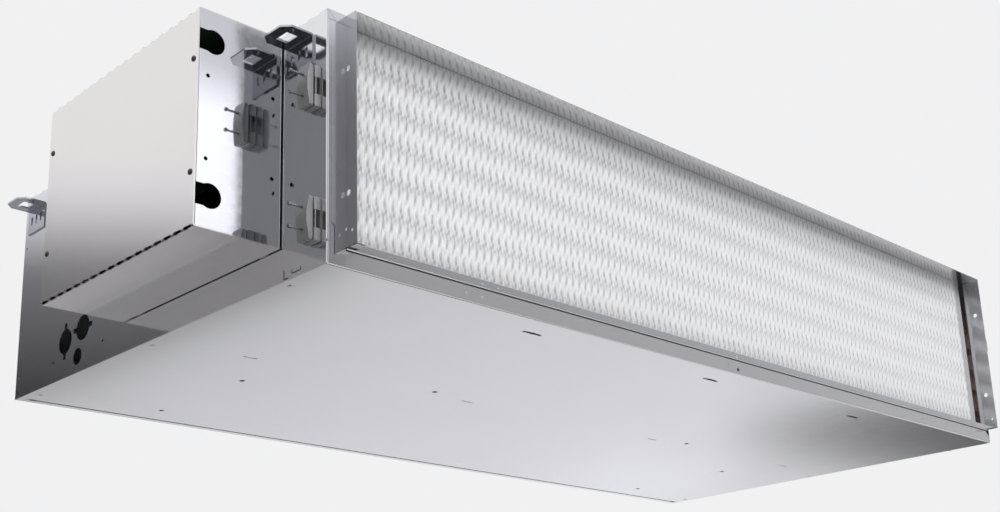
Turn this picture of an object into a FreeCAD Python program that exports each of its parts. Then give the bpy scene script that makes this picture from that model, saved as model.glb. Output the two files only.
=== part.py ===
import FreeCAD, Part
import math
import os
import re

import Sketcher
from FreeCAD import Placement, Rotation, Vector

# A ceiling-hung ducted fan coil unit, in millimetres.
# X runs along the casing from its left side, Y from its front to its rear and Z upwards.
# The origin is the middle of the casing's underside, on the face it rests on.

sizes = {
    # Casing
    "casing_length": 1210,
    "casing_depth": 595,
    "casing_height": 250,
    "sheet": 1.2,
    "front_return": 21,
    "top_return": 10,
    "rear_return": 10,
    "foot_return": 14,
    "bottom_lip": 17,
    "lip_notch": 9,
    "mitre_gap": 0.4,
    "service_hole_radius": 2.5,
    "service_hole_side": 160,
    "service_hole_inner": 367,
    "service_hole_front": 272,
    "service_hole_middle_inset": 229,
    "service_hole_rear_inset": 57,
    # Duct collar round the air outlet
    "collar_reach": 15,
    "collar_return": 10,
    "collar_foot": 19,
    "collar_foot_width": 9,
    "collar_gap": 1.5,
    "duct_hole_radius": 3,
    "duct_hole_forward": 4,
    "duct_hole_low": 71,
    "duct_hole_spacing": 123,
    # Finned coil
    "coil_front": 13,
    "coil_depth": 55,
    "coil_bottom": 27,
    "coil_left": 26,
    "coil_right_inset": 23.5,
    "coil_top_gap": 2.8,
    "rib_width": 4,
    "rib_depth": 2.2,
    "rib_count": 25,
    "coil_plate": 1.5,
    "plate_return": 9.4,
    "tube_radius": 6.35,
    "tube_sides": 12,
    "bend_sides": 8,
    "row_pitch": 27.5,
    "tube_low": 52.5,
    "tube_top_gap": 38.75,
    "tube_hole_gap": 1.2,
    # Headers and pipe connections on the right
    "header_radius": 12.5,
    "header_reach": 26,
    "header_end": 14,
    "connection_radius": 17,
    "connection_length": 20,
    "connection_bore": 12.06,
    "connection_thread": 16,
    "supply_height": 70,
    "return_height": 163,
    "vent_radius": 6,
    "vent_height": 10,
    "key_gap": 0.3,
    "key_radius": 3,
    "key_height": 8,
    "key_wing": 14,
    # Drain pan
    "pan_floor": 3,
    "pan_depth": 88,
    "pan_rim": 30,
    "pan_shelf": 18,
    "pan_lip_top": 26,
    "pan_end_gap": 1.8,
    "drain_radius": 10,
    "drain_bore": 8,
    "drain_height": 15,
    "drain_back": 78,
    "drain_reach": 28,
    # Electrical box on the left
    "box_reach": 93,
    "box_front": 68,
    "box_depth": 280,
    "box_bottom": 33,
    "box_top_gap": 4,
    "box_standoff": 2,
    "standoff_width": 12,
    "standoff_inset": 24,
    "keyhole_radius": 12,
    "keyhole_neck": 20.8,
    "keyhole_inset": 16,
    "keyhole_low": 64.5,
    "keyhole_drop": 35,
    "flange_width": 14,
    "flange_low": 79,
    "flange_drop": 48,
    "cover_screw_low": 85.5,
    "cover_screw_drop": 54,
    "cover_screw_inset": 7,
    "cover_head_radius": 3.5,
    "cover_head_height": 1.5,
    "wall_hole_radius": 2,
    "wall_hole_left": 11,
    "wall_hole_right": 11.5,
    "wall_hole_low": 99,
    "wall_hole_drop": 70,
    # Openings through the left side behind the box
    "pipe_hole_radius": 14.5,
    "pipe_hole_inset": 118,
    "pipe_hole_height": 43,
    "drain_hole_inset": 157,
    "drain_hole_height": 50,
    "cable_hole_radius": 9.5,
    "cable_hole_inset": 148,
    "cable_hole_height": 19,
    "knockout_slot": 6,
    "knockout_reach": 21,
    # Hanging brackets
    "hanger_width": 40,
    "hanger_reach": 33,
    "hanger_plate": 2,
    "hanger_drop": 18,
    "hanger_leg": 31,
    "hanger_chamfer": 8,
    "hanger_front": 40,
    "hanger_rear_inset": 31,
    "hanger_hole_along": 12,
    "hanger_hole_across": 17,
    "hanger_hole_out": 16.5,
    "leg_slot_width": 4,
    "leg_slot_height": 11,
    "leg_slot_pitch": 11,
    "leg_slot_drop": 16,
    # Cable clamps on the left, ahead of the box
    "clamp_front": 8,
    "clamp_width": 17,
    "clamp_height": 42,
    "clamp_low_middle": 43.3,
    "clamp_high_drop": 77.5,
    "clamp_base_depth": 8,
    "clamp_back": 1.2,
    "clamp_window": 17.4,
    "clamp_strip": 0.8,
    "clamp_strip_out": 6.9,
    "clamp_gap": 0.3,
    "clamp_bar_depth": 8.2,
    "clamp_bulge": 3,
    "clamp_screw_radius": 1.1,
    "clamp_screw_spacing": 21.2,
    "clamp_screw_reach": 30,
    "clamp_screw_head": 2,
    "clamp_head_radius": 2,
    "clamp_screw_gap": 0.3,
    # Fan deck and scroll fans
    "deck_lead": 157.6,
    "deck_tab": 12,
    "deck_tab_gap": 0.2,
    "deck_tab_outer": 114,
    "deck_tab_inner": 429,
    "fan_inset": 155,
    "fan_floor_gap": 8,
    "fan_end_room": 70,
    "fan_width": 203,
    "scroll_step": 10,
    "scroll_room": 26,
    "scroll_wall": 1.5,
    "cut_off": 24,
    "mouth_flange": 8,
    "impeller_clearance": 12,
    "blade_depth": 15,
    "blade_sweep": 7,
    "blade_sheet": 1.2,
    "blade_count": 18,
    "impeller_gap": 6,
    "impeller_ring": 3,
    "impeller_disc": 2,
    "hub_radius": 15,
    "hub_length": 24,
    "inlet_step": 18,
    "inlet_reach": 8,
    "inlet_wall": 1.5,
    "inlet_sides": 18,
    "hub_sides": 12,
    "shaft_radius": 6,
    "shaft_gap": 0.05,
    "shaft_end": 14,
    # Motors and their cradles
    "motor_radius": 50,
    "motor_length": 92,
    "motor_sides": 24,
    "cradle_sheet": 2,
    "cradle_gap": 0.2,
    "cradle_drop": 62,
    "cradle_tail": 50,
    # Rear filter and its rails
    "filter_inset": 9.4,
    "filter_thickness": 7,
    "filter_frame": 12,
    "media_thickness": 4,
    "rail_wall": 0.8,
    "rail_height": 24,
    "rail_groove": 12,
    "slide_gap": 0.4,
    "pull_width": 9,
    "pull_height": 60,
    # Foam liner and electrical parts
    "liner_thickness": 10,
    "liner_rear_gap": 6,
    "board_inset": 25,
    "board_rise": 90,
    "board_length": 120,
    "board_height": 90,
    "board_sheet": 1.6,
    "relay_inset": 20,
    "relay_length": 46,
    "relay_rise": 12,
    "relay_height": 19,
    "relay_depth": 16,
    "post_height": 8,
    "post_width": 6,
    "terminal_inset": 20,
    "terminal_depth": 22,
    "terminal_height": 24,
    "terminal_length": 110,
    "terminal_pitch": 11,
    "terminal_slot": 7,
    "terminal_ways": 9,
    "capacitor_inset": 190,
    "capacitor_rise": 60,
    "capacitor_pitch": 50,
    "capacitor_depth": 26,
    "capacitor_length": 48,
    "capacitor_height": 34,
    # Fasteners and small holes are drawn with flats
    "small_sides": 8,
}

# Sizes that follow from the casing's own
derived = {
    "service_hole_middle": "casing_depth - service_hole_middle_inset",
    "service_hole_rear": "casing_depth - service_hole_rear_inset",
    "fin_height": "casing_height - sheet - coil_top_gap - coil_bottom",
    "tube_pitch": "(casing_height - tube_low - tube_top_gap) / 5",
    "box_height": "casing_height - box_top_gap - box_bottom",
    "keyhole_high": "casing_height - keyhole_drop",
    "flange_high": "casing_height - flange_drop",
    "cover_screw_high": "casing_height - cover_screw_drop",
    "wall_hole_high": "casing_height - wall_hole_drop",
    "pipe_hole_back": "casing_depth - pipe_hole_inset",
    "drain_hole_back": "casing_depth - drain_hole_inset",
    "cable_hole_back": "casing_depth - cable_hole_inset",
    "hanger_top": "casing_height - hanger_drop",
    "hanger_foot": "hanger_top - hanger_leg",
    "hanger_rear": "casing_depth - hanger_rear_inset",
    "leg_slot_middle": "hanger_top - leg_slot_drop",
    "clamp_high_middle": "casing_height - clamp_high_drop",
    "scroll_start": "(casing_height - 4 * scroll_step - scroll_room) / 2",
    "fan_height": "scroll_start + scroll_step + fan_floor_gap",
    "fan_back": "casing_depth - fan_inset",
    "fan_pitch": "(casing_length - fan_end_room) / 3",
    "deck_front": "fan_back - deck_lead",
    "impeller_radius": "scroll_start - impeller_clearance",
    "inlet_radius": "impeller_radius - inlet_step",
    "filter_back": "casing_depth - filter_inset",
}

doc = FreeCAD.newDocument("FanCoilUnit")
sheet = doc.addObject("Spreadsheet::Sheet", "Sizes")
cells = {**{alias: str(value) for alias, value in sizes.items()},
         **{alias: f"={formula}" for alias, formula in derived.items()}}
for row, (alias, content) in enumerate(cells.items(), start=1):
    sheet.set(f"A{row}", alias)
    sheet.setAlias(f"B{row}", alias)
    sheet.set(f"B{row}", content)
doc.recompute()

# Faces of the casing
LEFT = "-casing_length / 2"
RIGHT = "casing_length / 2"
FRONT = "-casing_depth / 2"
REAR = "casing_depth / 2"
FLOOR = "sheet"
CEILING = "casing_height - sheet"

nodes = []
alongX = Rotation(Vector(0, 1, 0), 90)
alongY = Rotation(Vector(1, 0, 0), -90)
alongZ = Rotation()


def bound(text):
    """An expression in which every size name reads its own cell."""
    return re.sub(r"[a-z_]+", lambda word: f"Sizes.{word[0]}" if word[0] in cells else word[0], str(text))


def back(size):
    """A place measured back from the front face."""
    return f"{FRONT} + {size}"


def node(name, shape):
    """Names a finished piece."""
    shape.Label = name
    nodes.append(shape)
    return shape


def block(name, x, y, z):
    """A box between a low and a high face along each axis."""
    box = doc.addObject("Part::Box", name)
    for side, axis, (low, high) in zip(("Length", "Width", "Height"), "xyz", (x, y, z)):
        box.setExpression(side, bound(f"({high}) - ({low})"))
        box.setExpression(f"Placement.Base.{axis}", bound(low))
    return box


def rod(name, turn, radius, x, y, z):
    """A cylinder; the axis it runs along gets a pair of faces and the other two get its centre."""
    cylinder = doc.addObject("Part::Cylinder", name)
    cylinder.Placement = Placement(Vector(), turn)
    cylinder.setExpression("Radius", bound(radius))
    for axis, place in zip("xyz", (x, y, z)):
        if isinstance(place, tuple):
            cylinder.setExpression("Height", bound(f"({place[1]}) - ({place[0]})"))
            place = place[0]
        cylinder.setExpression(f"Placement.Base.{axis}", bound(place))
    return cylinder


def bar(name, turn, radius, sides, x, y, z):
    """A many-sided bar, placed as a rod is."""
    prism = doc.addObject("Part::Prism", name)
    prism.Placement = Placement(Vector(), turn)
    prism.Polygon = int(sizes[sides])
    prism.setExpression("Circumradius", bound(radius))
    for axis, place in zip("xyz", (x, y, z)):
        if isinstance(place, tuple):
            prism.setExpression("Height", bound(f"({place[1]}) - ({place[0]})"))
            place = place[0]
        prism.setExpression(f"Placement.Base.{axis}", bound(place))
    return prism


def join(name, pieces):
    """Solids fused into one."""
    fused = doc.addObject("Part::MultiFuse", name)
    fused.Shapes = pieces
    fused.Refine = True
    return fused


def cut(name, solid, tools):
    """A solid with one or more others taken out of it."""
    taken = doc.addObject("Part::Cut", name)
    taken.Base = solid
    taken.Tool = tools[0] if len(tools) == 1 else join(f"{name}_tools", tools)
    taken.Refine = True
    return taken


def group(name, pieces):
    """Separate solids kept together."""
    together = doc.addObject("Part::Compound", name)
    together.Links = pieces
    return together


def moved(name, piece, x="0", y="0", z="0"):
    """The same piece again, further along the axes."""
    again = group(name, [piece])
    for axis, place in zip("xyz", (x, y, z)):
        again.setExpression(f"Placement.Base.{axis}", bound(place))
    return again


def opposite(name, piece):
    """The same piece on the casing's other side."""
    mirrored = doc.addObject("Part::Mirroring", name)
    mirrored.Source = piece
    mirrored.Normal = (1, 0, 0)
    return mirrored


def new_body(name, x="0", y="0", z="0"):
    body = doc.addObject("PartDesign::Body", name)
    for axis, place in zip("xyz", (x, y, z)):
        body.setExpression(f"Placement.Base.{axis}", bound(place))
    return body


def new_sketch(body, name, plane, offset="0"):
    """A sketch parallel to one of the body's own planes."""
    sketch = body.newObject("Sketcher::SketchObject", f"{body.Name}_{name}")
    base = next(feature for feature in body.Origin.OriginFeatures if feature.Role == plane)
    sketch.AttachmentSupport = (base, "")
    sketch.MapMode = "FlatFace"
    sketch.setExpression("AttachmentOffset.Base.z", bound(offset))
    return sketch


def fix(sketch, kind, element, point, text, start):
    """A named distance of the sketch, bound to an expression."""
    number = sketch.addConstraint(Sketcher.Constraint(kind, element, point, start))
    name = f"{kind.lower()}_{number}"
    sketch.renameConstraint(number, name)
    sketch.setExpression(f"Constraints.{name}", bound(text))


def outline(sketch, corners):
    """A closed outline of straight lines, each corner fixed along both axes."""
    count = len(corners)
    spread = 100
    turns = [2 * math.pi * (index + 0.5) / count for index in range(count)]
    starts = [Vector(spread * math.cos(turn), spread * math.sin(turn), 0) for turn in turns]
    first = sketch.GeometryCount
    for index in range(count):
        sketch.addGeometry(Part.LineSegment(starts[index], starts[(index + 1) % count]), False)
    for index in range(count):
        following = first + (index + 1) % count
        sketch.addConstraint(Sketcher.Constraint("Coincident", first + index, 2, following, 1))
    for index, (across, along) in enumerate(corners):
        fix(sketch, "DistanceX", first + index, 1, across, starts[index].x)
        fix(sketch, "DistanceY", first + index, 1, along, starts[index].y)


def many_sided(sketch, radius, sides):
    """A regular outline about the sketch's origin, with a flat at its right."""
    turns = [360 * (index + 0.5) / sides for index in range(sides)]
    outline(sketch, [(f"({radius}) * cos({turn})", f"({radius}) * sin({turn})") for turn in turns])


def pad(body, sketch, length, midplane=False):
    feature = body.newObject("PartDesign::Pad", f"{sketch.Name}_pad")
    feature.Profile = sketch
    feature.setExpression("Length", bound(length))
    feature.Midplane = midplane
    return feature


def pocket(body, sketch, length):
    """A cut as deep to one side of the sketch as to the other."""
    feature = body.newObject("PartDesign::Pocket", f"{sketch.Name}_pocket")
    feature.Profile = sketch
    feature.setExpression("Length", bound(length))
    feature.Midplane = True
    return feature


# Casing

side_span = (FLOOR, CEILING)
rear_flange = (f"{REAR} - sheet", REAR)


def drilled(name, turn, radius, x, y, z, sides=None):
    """A drill that runs past both faces of a sheet; a small one has flats."""
    reach = [(f"{place[0]} - sheet", f"{place[1]} + sheet") if isinstance(place, tuple) else place
             for place in (x, y, z)]
    return bar(name, turn, radius, sides, *reach) if sides else rod(name, turn, radius, *reach)


def sorted_pair(one, other):
    """Two places along X with the left one first."""
    return (other, one) if one.startswith(RIGHT) and not one.startswith("-") else (one, other)


def side_shell(name, outside, inside, inward):
    """A side sheet with its foot and rear returns, from its outer face inwards."""
    inner_x = sorted_pair(outside, inside)
    foot = sorted_pair(inside, f"{outside} {inward} foot_return")
    rear = sorted_pair(inside, f"{outside} {inward} front_return")
    return [
        block(f"{name}_sheet", inner_x, (FRONT, REAR), side_span),
        block(f"{name}_foot", foot, (back("2 * sheet"), back("filter_back - liner_rear_gap")), (FLOOR, "2 * sheet")),
        block(f"{name}_rear", rear, rear_flange, side_span),
    ]


def left_side_panel():
    shell = side_shell("left_side", LEFT, f"{LEFT} + sheet", "+")
    flange = new_body("left_front_flange")
    face = new_sketch(flange, "face", "XZ_Plane", "casing_depth / 2 - sheet")
    inner = f"{LEFT} + front_return"
    outline(face, [
        (f"{LEFT} + sheet", "sheet"),
        (inner, "sheet"),
        (inner, "casing_height - top_return - mitre_gap"),
        (f"{LEFT} + top_return", "casing_height - top_return - mitre_gap"),
        (f"{LEFT} + sheet", "casing_height - sheet - mitre_gap"),
    ])
    pad(flange, face, "sheet")
    wall = (LEFT, f"{LEFT} + sheet")
    holes = []
    for name, radius, behind, height in (
        ("pipe", "pipe_hole_radius", "pipe_hole_back", "pipe_hole_height"),
        ("drain", "pipe_hole_radius", "drain_hole_back", "drain_hole_height"),
        ("cable", "cable_hole_radius", "cable_hole_back", "cable_hole_height"),
    ):
        holes.append(drilled(f"{name}_hole", alongX, radius, wall, back(behind), height))
    upright = block("pipe_hole_lobes", wall, (back("pipe_hole_back - knockout_slot / 2"),
                                              back("pipe_hole_back + knockout_slot / 2")),
                    ("pipe_hole_height - knockout_reach", "pipe_hole_height + knockout_reach"))
    level = block("drain_hole_lobes", wall, (back("drain_hole_back - knockout_reach"),
                                             back("drain_hole_back + knockout_reach")),
                  ("drain_hole_height - knockout_slot / 2", "drain_hole_height + knockout_slot / 2"))
    panel = join("left_side_shell", shell + [flange])
    node("left_side_panel", cut("left_side", panel, holes + [upright, level]))


def tube_rows():
    """Places of the two tube rows behind the front face."""
    middle = "coil_front + coil_depth / 2"
    return {"front": back(f"{middle} - row_pitch / 2"), "rear": back(f"{middle} + row_pitch / 2")}


fed_levels = [f"tube_low + {level} * tube_pitch" for level in (0, 2, 4)]


def right_side_panel():
    shell = side_shell("right_side", RIGHT, f"{RIGHT} - sheet", "-")
    wall = (f"{RIGHT} - sheet", RIGHT)
    slot = block("filter_slot", (f"{RIGHT} - 2 * sheet", f"{RIGHT} + sheet"),
                 (back("filter_back - slide_gap"), back("filter_back + filter_thickness + slide_gap")),
                 ("rail_groove", "casing_height - rail_groove"))
    holes = [drilled("drain_outlet_hole", alongX, "drain_radius + tube_hole_gap", wall, back("drain_back"),
                     "drain_height")]
    reach = "(tube_radius + tube_hole_gap)"
    for row, place in tube_rows().items():
        holes.append(block(f"{row}_tube_slot", (f"{RIGHT} - 2 * sheet", f"{RIGHT} + sheet"),
                           (f"{place} - {reach}", f"{place} + {reach}"),
                           (f"{fed_levels[0]} - {reach}", f"{fed_levels[-1]} + {reach}")))
    panel = join("right_side_shell", shell)
    node("right_side_panel", cut("right_side", panel, holes + [slot]))


def top_panel():
    plate = block("top_plate", (LEFT, RIGHT), (FRONT, REAR), (CEILING, "casing_height"))
    rear = block("top_rear", (f"{LEFT} + front_return", f"{RIGHT} - front_return"), rear_flange,
                 ("casing_height - rear_return", CEILING))
    corner = new_body("top_corner")
    face = new_sketch(corner, "face", "XZ_Plane", "casing_depth / 2 - sheet")
    outline(face, [
        (f"{LEFT} + sheet", CEILING),
        (f"{LEFT} + top_return", "casing_height - top_return"),
        (f"{LEFT} + front_return", "casing_height - top_return"),
        (f"{LEFT} + front_return", CEILING),
    ])
    pad(corner, face, "sheet")
    node("top_panel", join("top", [plate, rear, corner]))


def deck_tabs():
    """Places along X of the fan deck's tabs."""
    middles = (f"{LEFT} + deck_tab_outer", f"{LEFT} + deck_tab_inner", f"{RIGHT} - deck_tab_inner",
               f"{RIGHT} - deck_tab_outer")
    return [(f"{middle} - deck_tab / 2", f"{middle} + deck_tab / 2") for middle in middles]


def bottom_panel():
    plate = block("bottom_plate", (LEFT, RIGHT), (FRONT, REAR), ("0", FLOOR))
    rear = block("bottom_rear", (f"{LEFT} + front_return", f"{RIGHT} - front_return"), rear_flange,
                 (FLOOR, "rear_return"))
    lip = new_body("bottom_front_lip")
    face = new_sketch(lip, "face", "XZ_Plane", "casing_depth / 2 - sheet")
    outline(face, [
        (f"{LEFT} + front_return", "sheet"),
        (f"{RIGHT} - sheet", "sheet"),
        (f"{RIGHT} - sheet", "bottom_lip - lip_notch"),
        (f"{RIGHT} - lip_notch", "bottom_lip"),
        (f"{LEFT} + front_return", "bottom_lip"),
    ])
    pad(lip, face, "sheet")
    thickness = ("0", FLOOR)
    holes = []
    for side, inward in ((LEFT, "+"), (RIGHT, "-")):
        label = "left" if side == LEFT else "right"
        spots = (("service_hole_inner", "service_hole_front"), ("service_hole_side", "service_hole_middle"),
                 ("service_hole_side", "service_hole_rear"))
        for number, (inset, behind) in enumerate(spots):
            holes.append(drilled(f"service_hole_{label}_{number}", alongZ, "service_hole_radius",
                                 f"{side} {inward} {inset}", back(behind), thickness, "small_sides"))
    slots = []
    for number, (low, high) in enumerate(deck_tabs()):
        slots.append(block(f"tab_slot_{number}", (f"{low} - deck_tab_gap", f"{high} + deck_tab_gap"),
                           (back("deck_front - deck_tab_gap"), back("deck_front + sheet + deck_tab_gap")),
                           ("-sheet", "2 * sheet")))
    panel = join("bottom_shell", [plate, rear, lip])
    node("bottom_panel", cut("bottom", panel, holes + slots))


def duct_collar():
    under_top = f"{CEILING} - sheet"
    reach = (back("-collar_reach"), back("collar_return"))
    left_wall = (f"{LEFT} + front_return", f"{LEFT} + front_return + sheet")
    right_wall = (f"{RIGHT} - 2 * sheet", f"{RIGHT} - sheet")
    node("collar_top", block("collar_top", (f"{left_wall[1]} + collar_gap", f"{right_wall[0]} - collar_gap"),
                             reach, (under_top, CEILING)))
    for side, wall, foot in (
        ("left", left_wall, (left_wall[1], f"{left_wall[1]} + collar_foot_width")),
        ("right", right_wall, (f"{right_wall[0]} - collar_foot_width", right_wall[0])),
    ):
        upright = block(f"collar_{side}_upright", wall, reach, ("collar_foot", CEILING))
        tread = block(f"collar_{side}_tread", foot, (back("-collar_reach"), back("-sheet")),
                      ("collar_foot", "collar_foot + sheet"))
        holes = []
        for number, height in enumerate(("duct_hole_low", "duct_hole_low + duct_hole_spacing")):
            holes.append(drilled(f"duct_hole_{side}_{number}", alongX, "duct_hole_radius", wall,
                                 back("-duct_hole_forward"), height))
        node(f"collar_{side}", cut(f"collar_{side}_cut", join(f"collar_{side}_shell", [upright, tread]), holes))


# Drain pan, coil and pipework

def drain_pan():
    """A bent tray whose front edge steps forward to a lip in the casing's front plane."""
    front_wall = "coil_front - 1 - sheet"
    low = (f"{LEFT} + sheet + pan_end_gap", f"{RIGHT} - sheet - pan_end_gap")
    lip_run = (f"{LEFT} + front_return + sheet", f"{RIGHT} - 2 * sheet")
    rear_wall = "coil_front + pan_depth"
    tray = block("pan_tray", low, (back(front_wall), back(rear_wall)), ("pan_floor", "pan_rim"))
    hollow = block("pan_hollow", (f"{low[0]} + sheet", f"{low[1]} - sheet"),
                   (back(f"{front_wall} + sheet"), back(f"{rear_wall} - sheet")),
                   ("pan_floor + sheet", "pan_rim + sheet"))
    trim = block("pan_trim", (f"{low[0]} - sheet", f"{low[1]} + sheet"),
                 (back(f"{front_wall} - sheet"), back(f"{front_wall} + sheet")),
                 ("pan_shelf + sheet", "pan_rim + sheet"))
    shelf = block("pan_shelf_plate", lip_run, (FRONT, back(front_wall)), ("pan_shelf", "pan_shelf + sheet"))
    lip = block("pan_lip", lip_run, (FRONT, back("sheet")), ("pan_shelf", "pan_lip_top"))
    tub = cut("pan_tub", tray, [hollow, trim])
    run = (low[1], f"{RIGHT} + drain_reach")
    tube = rod("drain_tube", alongX, "drain_radius", run, back("drain_back"), "drain_height")
    bore = drilled("drain_bore_tool", alongX, "drain_bore", (f"{low[1]} - sheet", run[1]), back("drain_back"),
                   "drain_height")
    node("drain_pan", cut("pan_outlet", join("pan", [tub, shelf, lip, tube]), [bore]))


coil_end = f"{RIGHT} - coil_right_inset"
coil_depth_run = (back("coil_front"), back("coil_front + coil_depth"))


def coil():
    """The fin pack, in whose front an upright rib stands for each bundle of fins, between its end plates."""
    rise = ("coil_bottom", "coil_bottom + fin_height")
    start = f"{LEFT} + coil_left"
    pack = [block("fins", (start, coil_end), (back("coil_front + rib_depth"), coil_depth_run[1]), rise)]
    count = sizes["rib_count"]
    for number in range(count):
        low = f"{start} + {number} * ({coil_end} - ({start}) - rib_width) / {count - 1}"
        pack.append(block(f"fin_rib_{number}", (low, f"{low} + rib_width"),
                          (coil_depth_run[0], back("coil_front + rib_depth")), rise))
    node("coil_fins", join("fin_pack", pack))
    plate_rise = ("pan_floor + sheet", CEILING)
    node("coil_end_plate_left", block("end_plate_left", (f"{LEFT} + coil_left - coil_plate",
                                                         f"{LEFT} + coil_left"), coil_depth_run, plate_rise))
    web = block("end_plate_web", (coil_end, f"{coil_end} + coil_plate"), coil_depth_run, plate_rise)
    front_return = block("end_plate_return", (f"{coil_end} + coil_plate", f"{coil_end} + plate_return"),
                         (back("coil_front"), back("coil_front + coil_plate")), plate_rise)
    node("coil_end_plate_right", join("end_plate_right", [web, front_return]))


def bend(name, radius):
    """A half turn of tube in five straight runs, in the XY plane with its ends on the X axis."""
    spine = doc.addObject("Sketcher::SketchObject", f"{name}_spine")
    reach = f"({radius})"
    short = f"{reach} * tan(22.5)"
    corners = [(reach, "0"), (reach, short), (short, reach), (f"-{short}", reach), (f"-{reach}", short),
               (f"-{reach}", "0")]
    spread = 20
    spots = [Vector(spread * math.cos(turn), spread * math.sin(turn), 0)
             for turn in (index * math.pi / 5 for index in range(len(corners)))]
    for first, second in zip(spots, spots[1:]):
        spine.addGeometry(Part.LineSegment(first, second), False)
    for index in range(len(corners) - 2):
        spine.addConstraint(Sketcher.Constraint("Coincident", index, 2, index + 1, 1))
    for index, (across, along) in enumerate(corners):
        line, point = (index, 1) if index < len(corners) - 1 else (index - 1, 2)
        fix(spine, "DistanceX", line, point, across, spots[index].x)
        fix(spine, "DistanceY", line, point, along, spots[index].y)
    section = doc.addObject("Part::RegularPolygon", f"{name}_section")
    section.Placement = Placement(Vector(), Rotation(Vector(1, 0, 0), 90))
    section.Polygon = int(sizes["bend_sides"])
    section.setExpression("Circumradius", "Sizes.tube_radius")
    section.setExpression("Placement.Base.x", bound(radius))
    doc.recompute()
    swept = doc.addObject("Part::Sweep", name)
    swept.Sections = [section]
    swept.Spine = (spine, [f"Edge{index}" for index in range(1, len(corners))])
    swept.Solid = True
    swept.Transition = "Right corner"
    return swept


def return_bends():
    """Upright bends at the left end of each row, and level bends between the rows at the right."""
    turned = {}
    for side, radius, turn in (
        ("left", "tube_pitch / 2", Rotation(Vector(1, 0, 0), 90) * Rotation(Vector(0, 0, 1), 90)),
        ("right", "row_pitch / 2", Rotation(Vector(0, 0, 1), -90)),
    ):
        turned[side] = bend(f"{side}_bend", radius)
        turned[side].Placement = Placement(Vector(), turn)
    bends = []
    for row, place in tube_rows().items():
        for level in (0, 2, 4):
            bends.append(moved(f"left_bend_{row}_{level}", turned["left"], f"{LEFT} + coil_left - coil_plate", place,
                               f"tube_low + {level + 0.5} * tube_pitch"))
    for level in (1, 3, 5):
        bends.append(moved(f"right_bend_{level}", turned["right"], f"{coil_end} + coil_plate",
                           back("coil_front + coil_depth / 2"), f"tube_low + {level} * tube_pitch"))
    node("coil_return_bends", group("return_bends", bends))


header_middle = f"{RIGHT} + header_reach"


def headers():
    feeds = []
    for row, place in tube_rows().items():
        for number, height in enumerate(fed_levels):
            feeds.append(bar(f"{row}_feed_{number}", alongX, "tube_radius", "tube_sides",
                             (f"{coil_end} + coil_plate", f"{header_middle} - header_radius"), place, height))
    node("coil_feed_tubes", group("feed_tubes", feeds))
    span = (f"{fed_levels[0]} - header_end", f"{fed_levels[-1]} + header_end")
    for name, row, height in (("supply", "rear", "supply_height"), ("return", "front", "return_height")):
        place = tube_rows()[row]
        node(f"{name}_header", rod(f"{name}_pipe", alongZ, "header_radius", header_middle, place, span))
        start = f"{header_middle} + header_radius"
        nut = doc.addObject("Part::Prism", f"{name}_nut")
        nut.Polygon = 6
        nut.Placement = Placement(Vector(), alongX)
        nut.setExpression("Circumradius", "Sizes.connection_radius")
        nut.setExpression("Height", "Sizes.connection_length")
        for axis, spot in zip("xyz", (start, place, height)):
            nut.setExpression(f"Placement.Base.{axis}", bound(spot))
        thread = rod(f"{name}_thread", alongX, "connection_bore",
                     (f"{start} + connection_length - connection_thread", f"{start} + connection_length + 1"),
                     place, height)
        node(f"{name}_connection", cut(f"{name}_connection_cut", nut, [thread]))
    vent_foot = span[1]
    vent_top = f"{vent_foot} + vent_height"
    place = tube_rows()["front"]
    node("air_vent_body", bar("vent", alongZ, "vent_radius", "tube_sides", header_middle, place,
                              (vent_foot, vent_top)))
    stem = bar("vent_stem", alongZ, "key_radius", "tube_sides", header_middle, place,
               (f"{vent_top} + key_gap", f"{vent_top} + key_gap + key_height"))
    wing = block("vent_wing", (f"{header_middle} - key_wing / 2", f"{header_middle} + key_wing / 2"),
                 (f"{place} - key_radius / 3", f"{place} + key_radius / 3"),
                 (f"{vent_top} + key_gap + key_height / 3", f"{vent_top} + key_gap + key_height"))
    node("air_vent_key", join("vent_key", [stem, wing]))


# Electrical box

box_left = f"{LEFT} - box_reach"
box_right = f"{LEFT} - box_standoff"
box_floor = "box_bottom + sheet"
box_ceiling = "box_bottom + box_height - sheet"
box_rear = "box_front + box_depth"


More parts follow.
